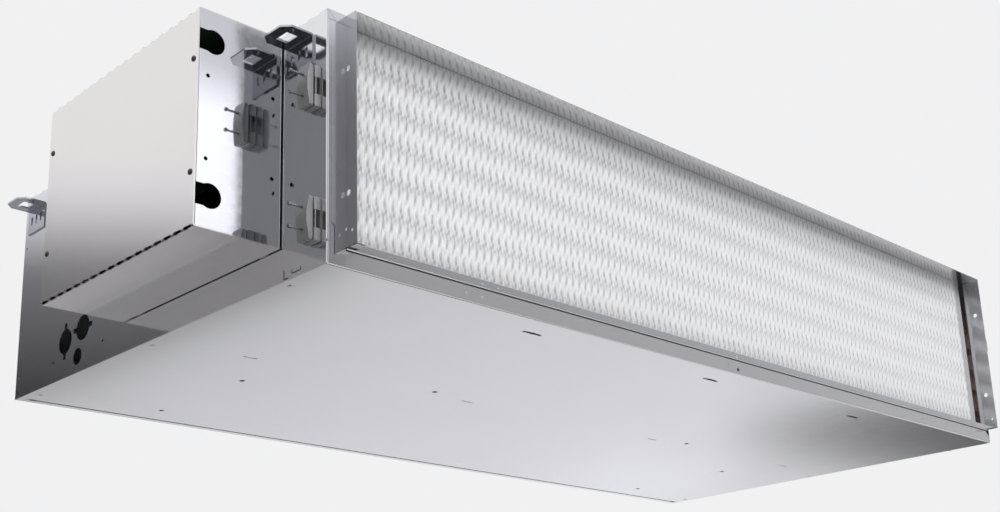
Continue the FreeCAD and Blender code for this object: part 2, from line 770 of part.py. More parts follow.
def box_body():
    """The back plate on its standoffs, with a front and a rear wall and their screw flanges."""
    rise = (box_floor, box_ceiling)
    plate_out = f"{box_right} - sheet"
    plate = block("box_plate", (plate_out, box_right), (back("box_front"), back(box_rear)), rise)
    front = block("box_front_wall", (f"{box_left} + sheet", plate_out),
                  (back("box_front"), back("box_front + sheet")), rise)
    rear = block("box_rear_wall", (f"{box_left} + sheet", plate_out),
                 (back(f"{box_rear} - sheet"), back(box_rear)), rise)
    flange_x = (f"{box_left} + sheet", f"{box_left} + 2 * sheet")
    flange_z = ("flange_low", "flange_high")
    near = block("box_front_flange", flange_x, (back("box_front + sheet"), back("box_front + flange_width")),
                 flange_z)
    far = block("box_rear_flange", flange_x, (back(f"{box_rear} - flange_width"), back(f"{box_rear} - sheet")),
                flange_z)
    standoffs = []
    for label, low in (("front", "box_front + standoff_inset"),
                       ("rear", f"{box_rear} - standoff_inset - standoff_width")):
        standoffs.append(block(f"box_standoff_{label}", (box_right, LEFT),
                               (back(low), back(f"{low} + standoff_width")), rise))
    wall = (back("box_front"), back("box_front + sheet"))
    past = (back("box_front - sheet"), back("box_front + 2 * sheet"))
    tools = []
    for label, height in (("low", "keyhole_low"), ("high", "keyhole_high")):
        middle = f"{box_left} + keyhole_inset"
        tools.append(drilled(f"keyhole_{label}", alongY, "keyhole_radius", middle, wall, height))
        tools.append(block(f"keyhole_neck_{label}", (box_left, middle), past,
                           (f"{height} - keyhole_neck / 2", f"{height} + keyhole_neck / 2")))
    for label, place in (("left", f"{box_left} + wall_hole_left"), ("right", f"{LEFT} - wall_hole_right")):
        for level in ("low", "high"):
            tools.append(drilled(f"wall_hole_{label}_{level}", alongY, "wall_hole_radius", place, wall,
                                 f"wall_hole_{level}", "small_sides"))
    shell = join("box_shell", [plate, front, rear, near, far] + standoffs)
    node("box_body", cut("box_body_cut", shell, tools))


def cover_screw_spots():
    """Places of the four cover screws, as a distance back and a height."""
    behinds = (back("box_front + cover_screw_inset"), back(f"{box_rear} - cover_screw_inset"))
    return [(behind, height) for behind in behinds for height in ("cover_screw_low", "cover_screw_high")]


def box_cover():
    """The left face with the top and bottom walls bent from it."""
    run = (back("box_front"), back(box_rear))
    face_x = (box_left, f"{box_left} + sheet")
    face = block("cover_face", face_x, run, ("box_bottom", "box_bottom + box_height"))
    floor = block("cover_floor", (face_x[1], box_right), run, ("box_bottom", box_floor))
    roof = block("cover_roof", (face_x[1], box_right), run, (box_ceiling, "box_bottom + box_height"))
    heads = []
    for number, (behind, height) in enumerate(cover_screw_spots()):
        heads.append(bar(f"cover_head_{number}", alongX, "cover_head_radius", "small_sides",
                         (f"{box_left} - cover_head_height", box_left), behind, height))
    node("box_cover", join("cover_shell", [face, floor, roof]))
    node("cover_screws", group("cover_screw_set", heads))


def box_contents():
    """Terminal block, control board on its posts and two capacitors, all on the back plate."""
    plate = f"{box_right} - sheet"
    start = "box_front + terminal_inset"
    floor = "box_bottom + terminal_inset"
    body = block("terminal_body", (f"{plate} - terminal_depth", plate),
                 (back(start), back(f"{start} + terminal_length")), (floor, f"{floor} + terminal_height"))
    slots = []
    for number in range(sizes["terminal_ways"]):
        low = f"{start} + (terminal_pitch - terminal_slot) + {number} * terminal_pitch"
        slots.append(block(f"terminal_slot_{number}", (f"{plate} - terminal_depth - sheet",
                                                       f"{plate} - terminal_depth / 2"),
                           (back(low), back(f"{low} + terminal_slot")),
                           (f"{floor} + terminal_height / 2", f"{floor} + terminal_height + sheet")))
    node("terminal_block", cut("terminal_cut", body, slots))
    near, low = "box_front + board_inset", "box_bottom + board_rise"
    far, high = f"{near} + board_length", f"{low} + board_height"
    back_of_board = f"{plate} - post_height"
    posts = []
    for side, place in (("near", f"{near} + post_width"), ("far", f"{far} - post_width")):
        for level, height in (("low", f"{low} + post_width"), ("high", f"{high} - post_width")):
            posts.append(block(f"board_post_{side}_{level}", (back_of_board, plate),
                               (back(f"{place} - post_width / 2"), back(f"{place} + post_width / 2")),
                               (f"{height} - post_width / 2", f"{height} + post_width / 2")))
    face = f"{back_of_board} - board_sheet"
    board = block("board_plate", (face, back_of_board), (back(near), back(far)), (low, high))
    relay_near, relay_low = f"{near} + relay_inset", f"{low} + relay_rise"
    relay = block("board_relays", (f"{face} - relay_depth", face),
                  (back(relay_near), back(f"{relay_near} + relay_length")),
                  (relay_low, f"{relay_low} + relay_height"))
    node("control_board", join("board", posts + [board, relay]))
    cases = []
    near = "box_front + capacitor_inset"
    for number in (0, 1):
        low = f"box_bottom + capacitor_rise + {number} * capacitor_pitch"
        cases.append(block(f"capacitor_{number}", (f"{plate} - capacitor_depth", plate),
                           (back(near), back(f"{near} + capacitor_length")), (low, f"{low} + capacitor_height")))
    node("capacitors", group("capacitor_pair", cases))


# Hanging brackets and cable clamps

def hanger(name, behind):
    """An angle bracket with chamfered corners, a rod slot and three slots in its leg."""
    body = new_body(name)
    plan = new_sketch(body, "plan", "XY_Plane", "hanger_top - hanger_plate")
    outer = f"{LEFT} - hanger_reach"
    near = back(f"{behind} - hanger_width / 2")
    far = back(f"{behind} + hanger_width / 2")
    outline(plan, [
        (LEFT, near),
        (LEFT, far),
        (f"{outer} + hanger_chamfer", far),
        (outer, f"{far} - hanger_chamfer"),
        (outer, f"{near} + hanger_chamfer"),
        (f"{outer} + hanger_chamfer", near),
    ])
    middle = f"{LEFT} - hanger_hole_out"
    low_x = f"{middle} - hanger_hole_along / 2"
    high_x = f"{middle} + hanger_hole_along / 2"
    low_y = back(f"{behind} - hanger_hole_across / 2")
    high_y = back(f"{behind} + hanger_hole_across / 2")
    outline(plan, [(low_x, low_y), (high_x, low_y), (high_x, high_y), (low_x, high_y)])
    pad(body, plan, "hanger_plate")
    leg_x = (f"{LEFT} - hanger_plate", LEFT)
    leg = block(f"{name}_leg", leg_x, (near, far), ("hanger_foot", "hanger_top - hanger_plate"))
    slots = []
    for number in (-1, 0, 1):
        middle_y = f"{behind} + {number} * leg_slot_pitch"
        slots.append(block(f"{name}_leg_slot_{number + 1}", (f"{leg_x[0]} - 1", f"{LEFT} + 1"),
                           (back(f"{middle_y} - leg_slot_width / 2"), back(f"{middle_y} + leg_slot_width / 2")),
                           ("leg_slot_middle - leg_slot_height / 2", "leg_slot_middle + leg_slot_height / 2")))
    return cut(f"{name}_bracket", join(f"{name}_angle", [body, leg]), slots)


def hanging_brackets():
    for place in ("front", "rear"):
        bracket = hanger(f"hanger_{place}", f"hanger_{place}")
        node(f"hanging_bracket_left_{place}", bracket)
        node(f"hanging_bracket_right_{place}", opposite(f"hanger_right_{place}", bracket))


def cable_clamp(name, middle):
    """A base on the casing's side, a bowed bar that slides on two long screws, and those screws."""
    run = (back("clamp_front"), back("clamp_front + clamp_width"))
    centre_y = back("clamp_front + clamp_width / 2")
    rise = (f"{middle} - clamp_height / 2", f"{middle} + clamp_height / 2")
    screw_heights = [f"{middle} {sign} clamp_screw_spacing / 2" for sign in "-+"]
    base = block(f"{name}_base_block", (f"{LEFT} - clamp_base_depth", LEFT), run, rise)
    window = block(f"{name}_window", (f"{LEFT} - clamp_base_depth - 1", f"{LEFT} - clamp_back"),
                   (f"{run[0]} - 1", f"{run[1]} + 1"),
                   (f"{middle} - clamp_window / 2", f"{middle} + clamp_window / 2"))
    strip = block(f"{name}_strip", (f"{LEFT} - clamp_strip_out", f"{LEFT} - clamp_strip_out + clamp_strip"),
                  run, (f"{middle} - clamp_window / 2", f"{middle} + clamp_window / 2"))
    sockets = [bar(f"{name}_socket_{number}", alongX, "clamp_screw_radius", "small_sides",
                   (f"{LEFT} - clamp_base_depth - 1", f"{LEFT} + 1"), centre_y, height)
               for number, height in enumerate(screw_heights)]
    node(f"{name}_clamp_base", cut(f"{name}_base", join(f"{name}_base_strip", [cut(f"{name}_base_open", base,
                                                                               [window]), strip]), sockets))
    inner = f"{LEFT} - clamp_base_depth - clamp_gap"
    outer = f"{inner} - clamp_bar_depth"
    stock = block(f"{name}_bar_stock", (outer, inner), run, rise)
    bow_radius = "(clamp_height * clamp_height / 4 + clamp_bulge * clamp_bulge) / (2 * clamp_bulge)"
    bow = rod(f"{name}_bow", alongY, bow_radius, f"{outer} + {bow_radius}", run, middle)
    bowed = doc.addObject("Part::Common", f"{name}_bar_bowed")
    bowed.Base = stock
    bowed.Tool = bow
    eyes = [bar(f"{name}_eye_{number}", alongX, "clamp_screw_radius + clamp_screw_gap", "small_sides",
                (f"{outer} - 1", f"{inner} + 1"), centre_y, height)
            for number, height in enumerate(screw_heights)]
    node(f"{name}_clamp_bar", cut(f"{name}_bar", bowed, eyes))
    screws = []
    for number, height in enumerate(screw_heights):
        tip = f"{LEFT} - clamp_screw_reach"
        shank = bar(f"{name}_shank_{number}", alongX, "clamp_screw_radius", "small_sides",
                    (f"{tip} + clamp_screw_head", LEFT), centre_y, height)
        head = bar(f"{name}_head_{number}", alongX, "clamp_head_radius", "small_sides",
                   (tip, f"{tip} + clamp_screw_head"), centre_y, height)
        screws.append(join(f"{name}_screw_{number}", [shank, head]))
    node(f"{name}_clamp_screws", group(f"{name}_screw_pair", screws))


# Fan deck, scroll housings, impellers and motors

deck_rear = "deck_front + sheet"
throat = f"fan_back - ({deck_rear})"


def fan_deck():
    """The plate that carries the fans, with a mouth for each and tabs into the bottom panel."""
    plate = block("deck_plate", (f"{LEFT} + sheet", f"{RIGHT} - sheet"), (back("deck_front"), back(deck_rear)),
                  ("2 * sheet", CEILING))
    tabs = [block(f"deck_tab_{number}", run, (back("deck_front"), back(deck_rear)), ("sheet / 4", "2 * sheet"))
            for number, run in enumerate(deck_tabs())]
    mouths = []
    for number in (-1, 0, 1):
        middle = f"{number} * fan_pitch"
        mouths.append(block(f"deck_mouth_{number + 1}", (f"{middle} - fan_width / 2", f"{middle} + fan_width / 2"),
                            (back("deck_front - 1"), back(f"{deck_rear} + 1")),
                            ("fan_height + cut_off",
                             "fan_height + 3 * scroll_step + scroll_start")))
    node("fan_deck", cut("deck", join("deck_shell", [plate] + tabs), mouths))


def scroll(sketch, offset):
    """The scroll's outline: three quarter turns that widen, then a straight duct to the mouth."""
    start = sheet.get("scroll_start")
    step = sizes["scroll_step"]
    quarter = math.pi / 2
    turns = (
        (Vector(0, 0, 0), start, 2, ("0", "0"), "scroll_start"),
        (Vector(0, step, 0), start + step, 3, ("0", "scroll_step"), "scroll_start + scroll_step"),
        (Vector(-step, step, 0), start + 2 * step, 0, ("-scroll_step", "scroll_step"),
         "scroll_start + 2 * scroll_step"),
    )
    for centre, radius, quadrant, (across, along), size in turns:
        circle = Part.Circle(centre, Vector(0, 0, 1), radius)
        arc = sketch.addGeometry(Part.ArcOfCircle(circle, quadrant * quarter, (quadrant + 1) * quarter), False)
        fix(sketch, "DistanceX", arc, 3, across, centre.x)
        fix(sketch, "DistanceY", arc, 3, along, centre.y)
        number = sketch.addConstraint(Sketcher.Constraint("Radius", arc, radius))
        name = f"radius_{number}"
        sketch.renameConstraint(number, name)
        sketch.setExpression(f"Constraints.{name}", bound(f"{size} + {offset}"))
        level_start = quadrant in (0, 2)
        first, last = ("DistanceY", "DistanceX") if level_start else ("DistanceX", "DistanceY")
        values = {"DistanceX": (across, centre.x), "DistanceY": (along, centre.y)}
        fix(sketch, first, arc, 1, *values[first])
        fix(sketch, last, arc, 2, *values[last])
    top = f"scroll_start + 3 * scroll_step + {offset}"
    shoulder = f"-scroll_start - {offset}"
    tongue = f"cut_off - {offset}"
    corners = [("-scroll_step", top), (f"-({throat})", top), (f"-({throat})", tongue), (shoulder, tongue),
               (shoulder, "0")]
    for (from_x, from_y), (to_x, to_y) in zip(corners, corners[1:]):
        line = sketch.addGeometry(Part.LineSegment(Vector(-start, step, 0), Vector(-start - step, 0, 0)), False)
        fix(sketch, "DistanceX", line, 1, from_x, -start)
        fix(sketch, "DistanceY", line, 1, from_y, step)
        fix(sketch, "DistanceX", line, 2, to_x, -start - step)
        fix(sketch, "DistanceY", line, 2, to_y, 0)


def fan_housing():
    """A double-inlet scroll with a flange round its mouth, centred on the middle fan's axis."""
    body = new_body("scroll_housing", "0", back("fan_back"), "fan_height")
    outside = new_sketch(body, "outside", "YZ_Plane")
    scroll(outside, "scroll_wall")
    pad(body, outside, "fan_width + 2 * scroll_wall", midplane=True)
    collar = new_sketch(body, "collar", "YZ_Plane")
    many_sided(collar, "inlet_radius + inlet_wall", sizes["inlet_sides"])
    pad(body, collar, "fan_width + 2 * scroll_wall + 2 * inlet_reach", midplane=True)
    inside = new_sketch(body, "inside", "YZ_Plane")
    scroll(inside, "0")
    pocket(body, inside, "fan_width")
    inlet = new_sketch(body, "inlet", "YZ_Plane")
    many_sided(inlet, "inlet_radius", sizes["inlet_sides"])
    pocket(body, inlet, "2 * fan_width")
    flange = new_sketch(body, "flange", "XZ_Plane", f"{throat} - scroll_wall")
    half = "fan_width / 2 + scroll_wall"
    low = "cut_off - scroll_wall"
    high = "scroll_start + 3 * scroll_step + scroll_wall"
    wide = f"{half} + mouth_flange"
    outline(flange, [(f"-({wide})", f"{low} - mouth_flange"), (wide, f"{low} - mouth_flange"),
                     (wide, f"{high} + mouth_flange / 2"), (f"-({wide})", f"{high} + mouth_flange / 2")])
    outline(flange, [("-fan_width / 2", "cut_off"), ("fan_width / 2", "cut_off"),
                     ("fan_width / 2", f"{high} - scroll_wall"), ("-fan_width / 2", f"{high} - scroll_wall")])
    pad(body, flange, "scroll_wall")
    return body


def impeller():
    """A double-inlet wheel: hub, centre disc, swept blades and two end rings, on the middle fan's axis."""
    body = new_body("impeller_wheel", "0", back("fan_back"), "fan_height")
    half = "(fan_width / 2 - impeller_gap)"
    hub = new_sketch(body, "hub", "YZ_Plane")
    many_sided(hub, "hub_radius", sizes["hub_sides"])
    pad(body, hub, "hub_length", midplane=True)
    disc = new_sketch(body, "disc", "YZ_Plane")
    many_sided(disc, "impeller_radius", sizes["blade_count"])
    pad(body, disc, "impeller_disc", midplane=True)
    for side, offset in (("right", f"{half} - impeller_ring"), ("left", f"-{half}")):
        end = new_sketch(body, f"{side}_ring", "YZ_Plane", offset)
        many_sided(end, "impeller_radius", sizes["blade_count"])
        many_sided(end, "impeller_radius - blade_depth", sizes["blade_count"])
        pad(body, end, "impeller_ring")
    blade = new_sketch(body, "blade", "YZ_Plane")
    inner = "impeller_radius - blade_depth"
    outer = "impeller_radius - 2 * blade_sheet"
    outline(blade, [
        (inner, "0"),
        (outer, "blade_sweep"),
        (outer, "blade_sweep + blade_sheet"),
        (inner, "blade_sheet"),
    ])
    first = pad(body, blade, f"2 * {half}", midplane=True)
    bore = new_sketch(body, "bore", "YZ_Plane")
    sides = sizes["hub_sides"]
    many_sided(bore, f"(shaft_radius + shaft_gap) / cos({180 / sides})", sides)
    doc.recompute()
    pattern = body.newObject("PartDesign::PolarPattern", "impeller_blades")
    pattern.Originals = [first]
    pattern.Axis = (blade, ["N_Axis"])
    pattern.Angle = 360
    pattern.setExpression("Occurrences", "Sizes.blade_count")
    body.Tip = pattern
    pocket(body, bore, "2 * hub_length")
    return body


def fans():
    """Three housings and wheels; one motor drives the left two and another drives the right one."""
    housing = fan_housing()
    wheel = impeller()
    places = {"left": "-fan_pitch", "centre": "0", "right": "fan_pitch"}
    for name, place in places.items():
        node(f"fan_housing_{name}", moved(f"housing_{name}", housing, place))
        node(f"impeller_{name}", moved(f"wheel_{name}", wheel, place))
    axis = (back("fan_back"), "fan_height")
    hub = "hub_length / 2 + shaft_end"
    node("shaft_left", rod("drive_left", alongX, "shaft_radius", (f"-fan_pitch - {hub}", hub), *axis))
    motor_right = "fan_pitch / 2"
    node("shaft_right", rod("drive_right", alongX, "shaft_radius",
                            (f"{motor_right} - motor_length / 2 - shaft_end", f"fan_pitch + {hub}"),
                            *axis))
    for side, middle in (("left", "-fan_pitch / 2"), ("right", motor_right)):
        can = bar(f"motor_can_{side}", alongX, "motor_radius", "motor_sides",
                  (f"{middle} - motor_length / 2", f"{middle} + motor_length / 2"), *axis)
        bore = bar(f"motor_bore_{side}", alongX, f"(shaft_radius + shaft_gap) / cos({180 / sizes['hub_sides']})",
                   "hub_sides", (f"{middle} - motor_length", f"{middle} + motor_length"), *axis)
        node(f"motor_{side}", cut(f"motor_cut_{side}", can, [bore]))
        motor_cradle(side, middle)


def motor_cradle(side, middle):
    """A shelf screwed to the deck, with two cheeks cut to the motor's round."""
    low = "fan_height - cradle_drop"
    width = (f"{middle} - motor_length / 2", f"{middle} + motor_length / 2")
    tail = back("fan_back + cradle_tail")
    shelf = block(f"cradle_shelf_{side}", width, (back(deck_rear), tail), (low, f"{low} + cradle_sheet"))
    foot = block(f"cradle_foot_{side}", width, (back(deck_rear), back(f"{deck_rear} + cradle_sheet")),
                 (low, "fan_height"))
    cheeks = []
    for edge, run in (("near", (width[0], f"{width[0]} + cradle_sheet")),
                      ("far", (f"{width[1]} - cradle_sheet", width[1]))):
        cheeks.append(block(f"cradle_cheek_{side}_{edge}", run, (back(deck_rear), tail),
                            (low, "fan_height - cradle_drop / 3")))
    seat = rod(f"cradle_seat_{side}", alongX, "motor_radius + cradle_gap",
               (f"{width[0]} - 1", f"{width[1]} + 1"), back("fan_back"), "fan_height")
    node(f"motor_cradle_{side}", cut(f"cradle_{side}", join(f"cradle_shell_{side}", [shelf, foot] + cheeks),
                                     [seat]))


# Filter, rails and liner

def air_filter():
    """A framed filter in two channel rails; it slides out through the right side."""
    run = (f"{LEFT} + sheet + slide_gap", f"{RIGHT} + sheet")
    depth = (back("filter_back"), back("filter_back + filter_thickness"))
    low = "rail_groove + slide_gap"
    high = "casing_height - rail_groove - slide_gap"
    outer = block("filter_outer", run, depth, (low, high))
    hole = block("filter_hole", (f"{run[0]} + filter_frame", f"{run[1]} - filter_frame"),
                 (f"{depth[0]} - 1", f"{depth[1]} + 1"), (f"{low} + filter_frame", f"{high} - filter_frame"))
    node("filter_frame", cut("filter_rim", outer, [hole]))
    middle = "filter_back + filter_thickness / 2"
    node("filter_media", block("media", (f"{run[0]} + filter_frame", f"{run[1]} - filter_frame"),
                               (back(f"{middle} - media_thickness / 2"), back(f"{middle} + media_thickness / 2")),
                               (f"{low} + filter_frame", f"{high} - filter_frame")))
    grip = block("pull_grip", (run[1], f"{run[1]} + pull_width"), depth,
                 ("casing_height / 2 - pull_height / 2", "casing_height / 2 + pull_height / 2"))
    finger = block("pull_finger", (run[1], f"{run[1]} + pull_width / 2"),
                   (f"{depth[0]} - 1", f"{depth[1]} + 1"),
                   ("casing_height / 2 - pull_height / 3", "casing_height / 2 + pull_height / 3"))
    node("filter_pull", cut("pull", grip, [finger]))
    outside = (back("filter_back - slide_gap - rail_wall"),
               back("filter_back + filter_thickness + slide_gap + rail_wall"))
    inside = (back("filter_back - slide_gap"), back("filter_back + filter_thickness + slide_gap"))
    length = (f"{LEFT} + sheet", f"{RIGHT} - sheet")
    stock = block("rail_stock", length, outside, (FLOOR, "rail_height"))
    past = (f"{LEFT}", RIGHT)
    groove = block("rail_channel", past, inside, ("rail_groove", "rail_height + 1"))
    hollow = block("rail_hollow", past, inside, ("0", "rail_groove - rail_wall"))
    rail = cut("rail", stock, [groove, hollow])
    node("filter_rail_bottom", rail)
    top = doc.addObject("Part::Mirroring", "rail_top")
    top.Source = rail
    top.Normal = (0, 0, 1)
    top.setExpression("Base.z", bound("casing_height / 2"))
    node("filter_rail_top", top)


def top_liner():
    node("top_liner", block("liner", (f"{LEFT} + sheet", f"{RIGHT} - sheet"),
                            (back(deck_rear), back("filter_back - liner_rear_gap")),
                            (f"{CEILING} - liner_thickness", CEILING)))


left_side_panel()
right_side_panel()
top_panel()
bottom_panel()
duct_collar()
drain_pan()
coil()
return_bends()
headers()
box_body()
box_cover()
box_contents()
hanging_brackets()
cable_clamp("upper", "clamp_high_middle")
cable_clamp("lower", "clamp_low_middle")
fan_deck()
fans()
air_filter()
top_liner()
doc.recompute()

failed = [item.Name for item in doc.Objects if "Invalid" in item.State or "Error" in item.State]
if failed:
    raise SystemExit(f"these did not compute: {', '.join(failed)}")
for piece in nodes:
    if piece.Shape.isNull() or not piece.Shape.isValid() or not piece.Shape.Solids:
        raise SystemExit(f"{piece.Label} has no valid solid")
os.makedirs("parts", exist_ok=True)
for piece in nodes:
    piece.Shape.exportStep(f"parts/{piece.Label}.step")
    print(piece.Label, len(piece.Shape.Solids), "solids")
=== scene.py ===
import math
from functools import partial
from itertools import product

import bmesh
import bpy
from mathutils import Euler, Matrix, Vector


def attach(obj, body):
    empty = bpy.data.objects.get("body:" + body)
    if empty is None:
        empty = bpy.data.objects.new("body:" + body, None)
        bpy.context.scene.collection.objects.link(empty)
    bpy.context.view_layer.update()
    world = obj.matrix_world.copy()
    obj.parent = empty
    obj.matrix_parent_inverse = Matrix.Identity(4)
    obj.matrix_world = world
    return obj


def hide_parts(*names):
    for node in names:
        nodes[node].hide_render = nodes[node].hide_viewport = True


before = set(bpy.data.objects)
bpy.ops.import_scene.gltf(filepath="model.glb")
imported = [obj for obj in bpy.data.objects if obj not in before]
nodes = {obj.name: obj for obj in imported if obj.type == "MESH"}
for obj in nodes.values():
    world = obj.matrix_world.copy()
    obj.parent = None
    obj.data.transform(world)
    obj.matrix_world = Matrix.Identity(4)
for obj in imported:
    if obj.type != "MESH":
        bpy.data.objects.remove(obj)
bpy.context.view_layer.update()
print("frame loaded")

# Lengths are in millimetres from the casing's left, front and bottom faces until a piece is finished.
mm = 0.001
casing = {"length": 1210, "depth": 595, "height": 250, "sheet": 1.2, "foldRadius": 1.6}
long, deep, high, sheet = casing["length"], casing["depth"], casing["height"], casing["sheet"]
cornerOffset = Vector((-long / 2, -deep / 2, 0))


# Helpers for nodes and flat sheets

def setSocket(tree, socket, value):  # gives a socket a number, a colour or a link
    if isinstance(value, (int, float)):
        socket.default_value = value
    elif isinstance(value, tuple):
        socket.default_value = (*value, 1) if socket.type == "RGBA" and len(value) == 3 else value
    else:
        tree.links.new(value, socket)


def mathNode(tree, operation, first, second=None, clamp=False):
    step = tree.nodes.new("ShaderNodeMath")
    step.operation = operation
    step.use_clamp = clamp
    setSocket(tree, step.inputs[0], first)
    if second is not None:
        setSocket(tree, step.inputs[1], second)
    return step.outputs[0]


def sums(tree, *kinds):  # short names for the sums that a pattern is made of
    return [partial(mathNode, tree, kind) for kind in kinds]


def blendColours(tree, share, first, second, mode="MIX"):
    mix = tree.nodes.new("ShaderNodeMix")
    mix.data_type = "RGBA"
    mix.blend_type = mode
    for number, value in ((0, share), (6, first), (7, second)):
        setSocket(tree, mix.inputs[number], value)
    return mix.outputs[2]


def mixShaders(tree, share, first, second):
    mix = tree.nodes.new("ShaderNodeMixShader")
    for socket, source in zip(mix.inputs, (share, first, second)):
        tree.links.new(source, socket)
    return mix.outputs[0]


def splitVector(tree, vector):
    split = tree.nodes.new("ShaderNodeSeparateXYZ")
    tree.links.new(vector, split.inputs[0])
    return split.outputs


def noiseNode(tree, vector, scale, detail=2.0, rough=0.5):
    noise = tree.nodes.new("ShaderNodeTexNoise")
    noise.inputs["Scale"].default_value = scale
    noise.inputs["Detail"].default_value = detail
    noise.inputs["Roughness"].default_value = rough
    tree.links.new(vector, noise.inputs["Vector"])
    return noise.outputs["Fac"]


def meshObject(name, bm):
    mesh = bpy.data.meshes.new(name)
    bm.to_mesh(mesh)
    bm.free()
    thing = bpy.data.objects.new(name, mesh)
    bpy.context.collection.objects.link(thing)
    return thing


def flatSheet(name, size, place, turn=(0, 0, 0)):  # a flat rectangle, in metres and degrees
    bm = bmesh.new()
    bmesh.ops.create_grid(bm, x_segments=1, y_segments=1, size=0.5)
    bmesh.ops.scale(bm, vec=(*size, 1), verts=bm.verts)
    matrix = Euler([math.radians(angle) for angle in turn]).to_matrix()
    bmesh.ops.rotate(bm, cent=(0, 0, 0), matrix=matrix, verts=bm.verts)
    bmesh.ops.translate(bm, vec=place, verts=bm.verts)
    return meshObject(name, bm)


# Camera, lamps and floor

camera = {
    "place": (-1.2968, -1.2060, -0.4176),
    "turn": (106.178, 1.885, -44.181),
    "lens": 49.8,
    "sensor": 36,
    "riseShift": 0.10,
    "clip": (0.05, 60),
}
lamps = {
    "overhead": {"place": (-0.4, -0.6, 3.0), "aim": (0, 0, 0.1), "size": 3.0, "watts": 47, "colour": (1, 1, 1)},
    "front": {"place": (-0.3, -3.0, 2.4), "aim": (0, 0, 0.12), "size": 2.2, "watts": 101, "colour": (1, 1, 1)},
    "left": {"place": (-2.6, -0.6, 1.6), "aim": (-0.7, -0.1, 0.2), "size": 1.6, "watts": 8,
             "colour": (1, 0.99, 0.97)},
    "under": {"place": (-0.9, -0.9, -1.0), "aim": (-0.3, -0.1, 0), "size": 1.2, "watts": 9, "colour": (1, 1, 1)},
}
surroundings = {
    "floorHeight": -1.25, "floorSize": (60, 60), "floorColour": (0.66, 0.66, 0.67), "floorRough": 0.9,
    "floorLift": 0.4, "skyColour": (0.88, 0.88, 0.89), "fill": 0.30, "cardTint": (1, 1, 1.06),
}
# Glowing cards that only the metal's reflections see, painting light and shade into those reflections, lying flat
# where no turn is given, each shaded along one axis through (distance, grey) stops.
cards = {
    "frontHigh": {"place": (2.0, -4.5, 1.55), "turn": (90, 0, 0), "size": (17, 3.2), "axis": 0,
                  "stops": ((2.6, 0.205), (2.9, 0.30), (4.7, 0.36), (7.4, 0.43))},
    "frontTop": {"place": (2.0, -4.5, 3.9), "turn": (90, 0, 0), "size": (17, 1.5), "axis": 2,
                 "stops": ((3.15, 0.62), (3.6, 0.85))},
    "frontBright": {"place": (0.69, -4.45, 2.45), "turn": (90, 0, 0), "size": (2.87, 1.7), "axis": 2,
                    "stops": ((1.6, 0.85), (2.1, 1.15), (2.6, 1.15), (2.84, 0.66), (3.3, 0.6))},
    "rearLeft": {"place": (-3.6, 5.2, 0.75), "turn": (90, 0, 35), "size": (9, 4.0), "axis": 2,
                 "stops": ((1.5, 0.04), (1.8, 0.10), (2.2, 0.19), (2.4, 0.52), (2.64, 0.84))},
    "groundFar": {"place": (5.9, 5.0, -1.246), "size": (8.8, 14), "axis": 0,
                  "stops": ((1.5, 0.60), (2.6, 0.68), (4.3, 0.76), (8.0, 0.76))},
    "groundGlare": {"place": (5.4, 4.5, -1.243), "size": (1.3, 1.2), "axis": 0,
                    "stops": ((4.8, 0.85), (5.6, 1.0))},
    "groundRight": {"place": (7.0, 1.1, -1.242), "size": (4.6, 4.4), "axis": 1,
                    "stops": ((2.75, 0.02), (3.05, 0.15), (3.35, 0.58))},
    "groundLeft": {"place": (-0.85, 3.2, -1.245), "size": (4.7, 1.9), "axis": 0,
                   "stops": ((-2.6, 0.27), (0.6, 0.34), (1.13, 0.39), (1.23, 0.13), (1.33, 0.19))},
    "groundFront": {"place": (-2.3, -2.4, -1.244), "size": (3.6, 3.6), "axis": 1,
                    "stops": ((-4.0, 0.03), (-0.7, 0.06))},
    "groundNear": {"place": (-0.6, 1.05, -1.244), "size": (3.3, 2.6), "axis": 1,
                   "stops": ((2.0, 0.03), (2.3, 0.08))},
}


def placeCamera():
    data = bpy.data.cameras.new("camera")
    data.lens = camera["lens"]
    data.sensor_width = camera["sensor"]
    data.shift_y = camera["riseShift"]
    data.clip_start, data.clip_end = camera["clip"]
    eye = bpy.data.objects.new("camera", data)
    eye.location = camera["place"]
    eye.rotation_euler = Euler([math.radians(angle) for angle in camera["turn"]])
    bpy.context.collection.objects.link(eye)
    bpy.context.scene.camera = eye


def placeLamps():
    for name, facts in lamps.items():
        data = bpy.data.lights.new(name, "AREA")
        data.shape = "SQUARE"
        data.size = facts["size"]
        data.energy = facts["watts"]
        data.color = facts["colour"]
        lamp = bpy.data.objects.new(f"{name}Lamp", data)
        lamp.location = facts["place"]
        towards = Vector(facts["aim"]) - Vector(facts["place"])
        lamp.rotation_euler = towards.to_track_quat("-Z", "Y").to_euler()
        lamp.visible_camera = False
        lamp.visible_glossy = False
        bpy.context.collection.objects.link(lamp)


def background(tree, colour, strength):
    glow = tree.nodes.new("ShaderNodeBackground")
    glow.inputs["Color"].default_value = (*colour, 1)
    glow.inputs["Strength"].default_value = strength
    return glow.outputs[0]


def lightWorld():  # an even fill, and a paler sky that only the camera and the mirroring metal see
    world = bpy.data.worlds.new("studio")
    bpy.context.scene.world = world
    world.use_nodes = True
    tree = world.node_tree
    tree.nodes.clear()
    rays = tree.nodes.new("ShaderNodeLightPath").outputs
    seen = mathNode(tree, "MAXIMUM", rays["Is Camera Ray"], rays["Is Glossy Ray"])
    seen = mathNode(tree, "MAXIMUM", seen, rays["Is Transmission Ray"])
    fill = background(tree, (1, 1, 1), surroundings["fill"])
    sky = background(tree, surroundings["skyColour"], 1)
    out = tree.nodes.new("ShaderNodeOutputWorld")
    tree.links.new(mixShaders(tree, seen, fill, sky), out.inputs["Surface"])


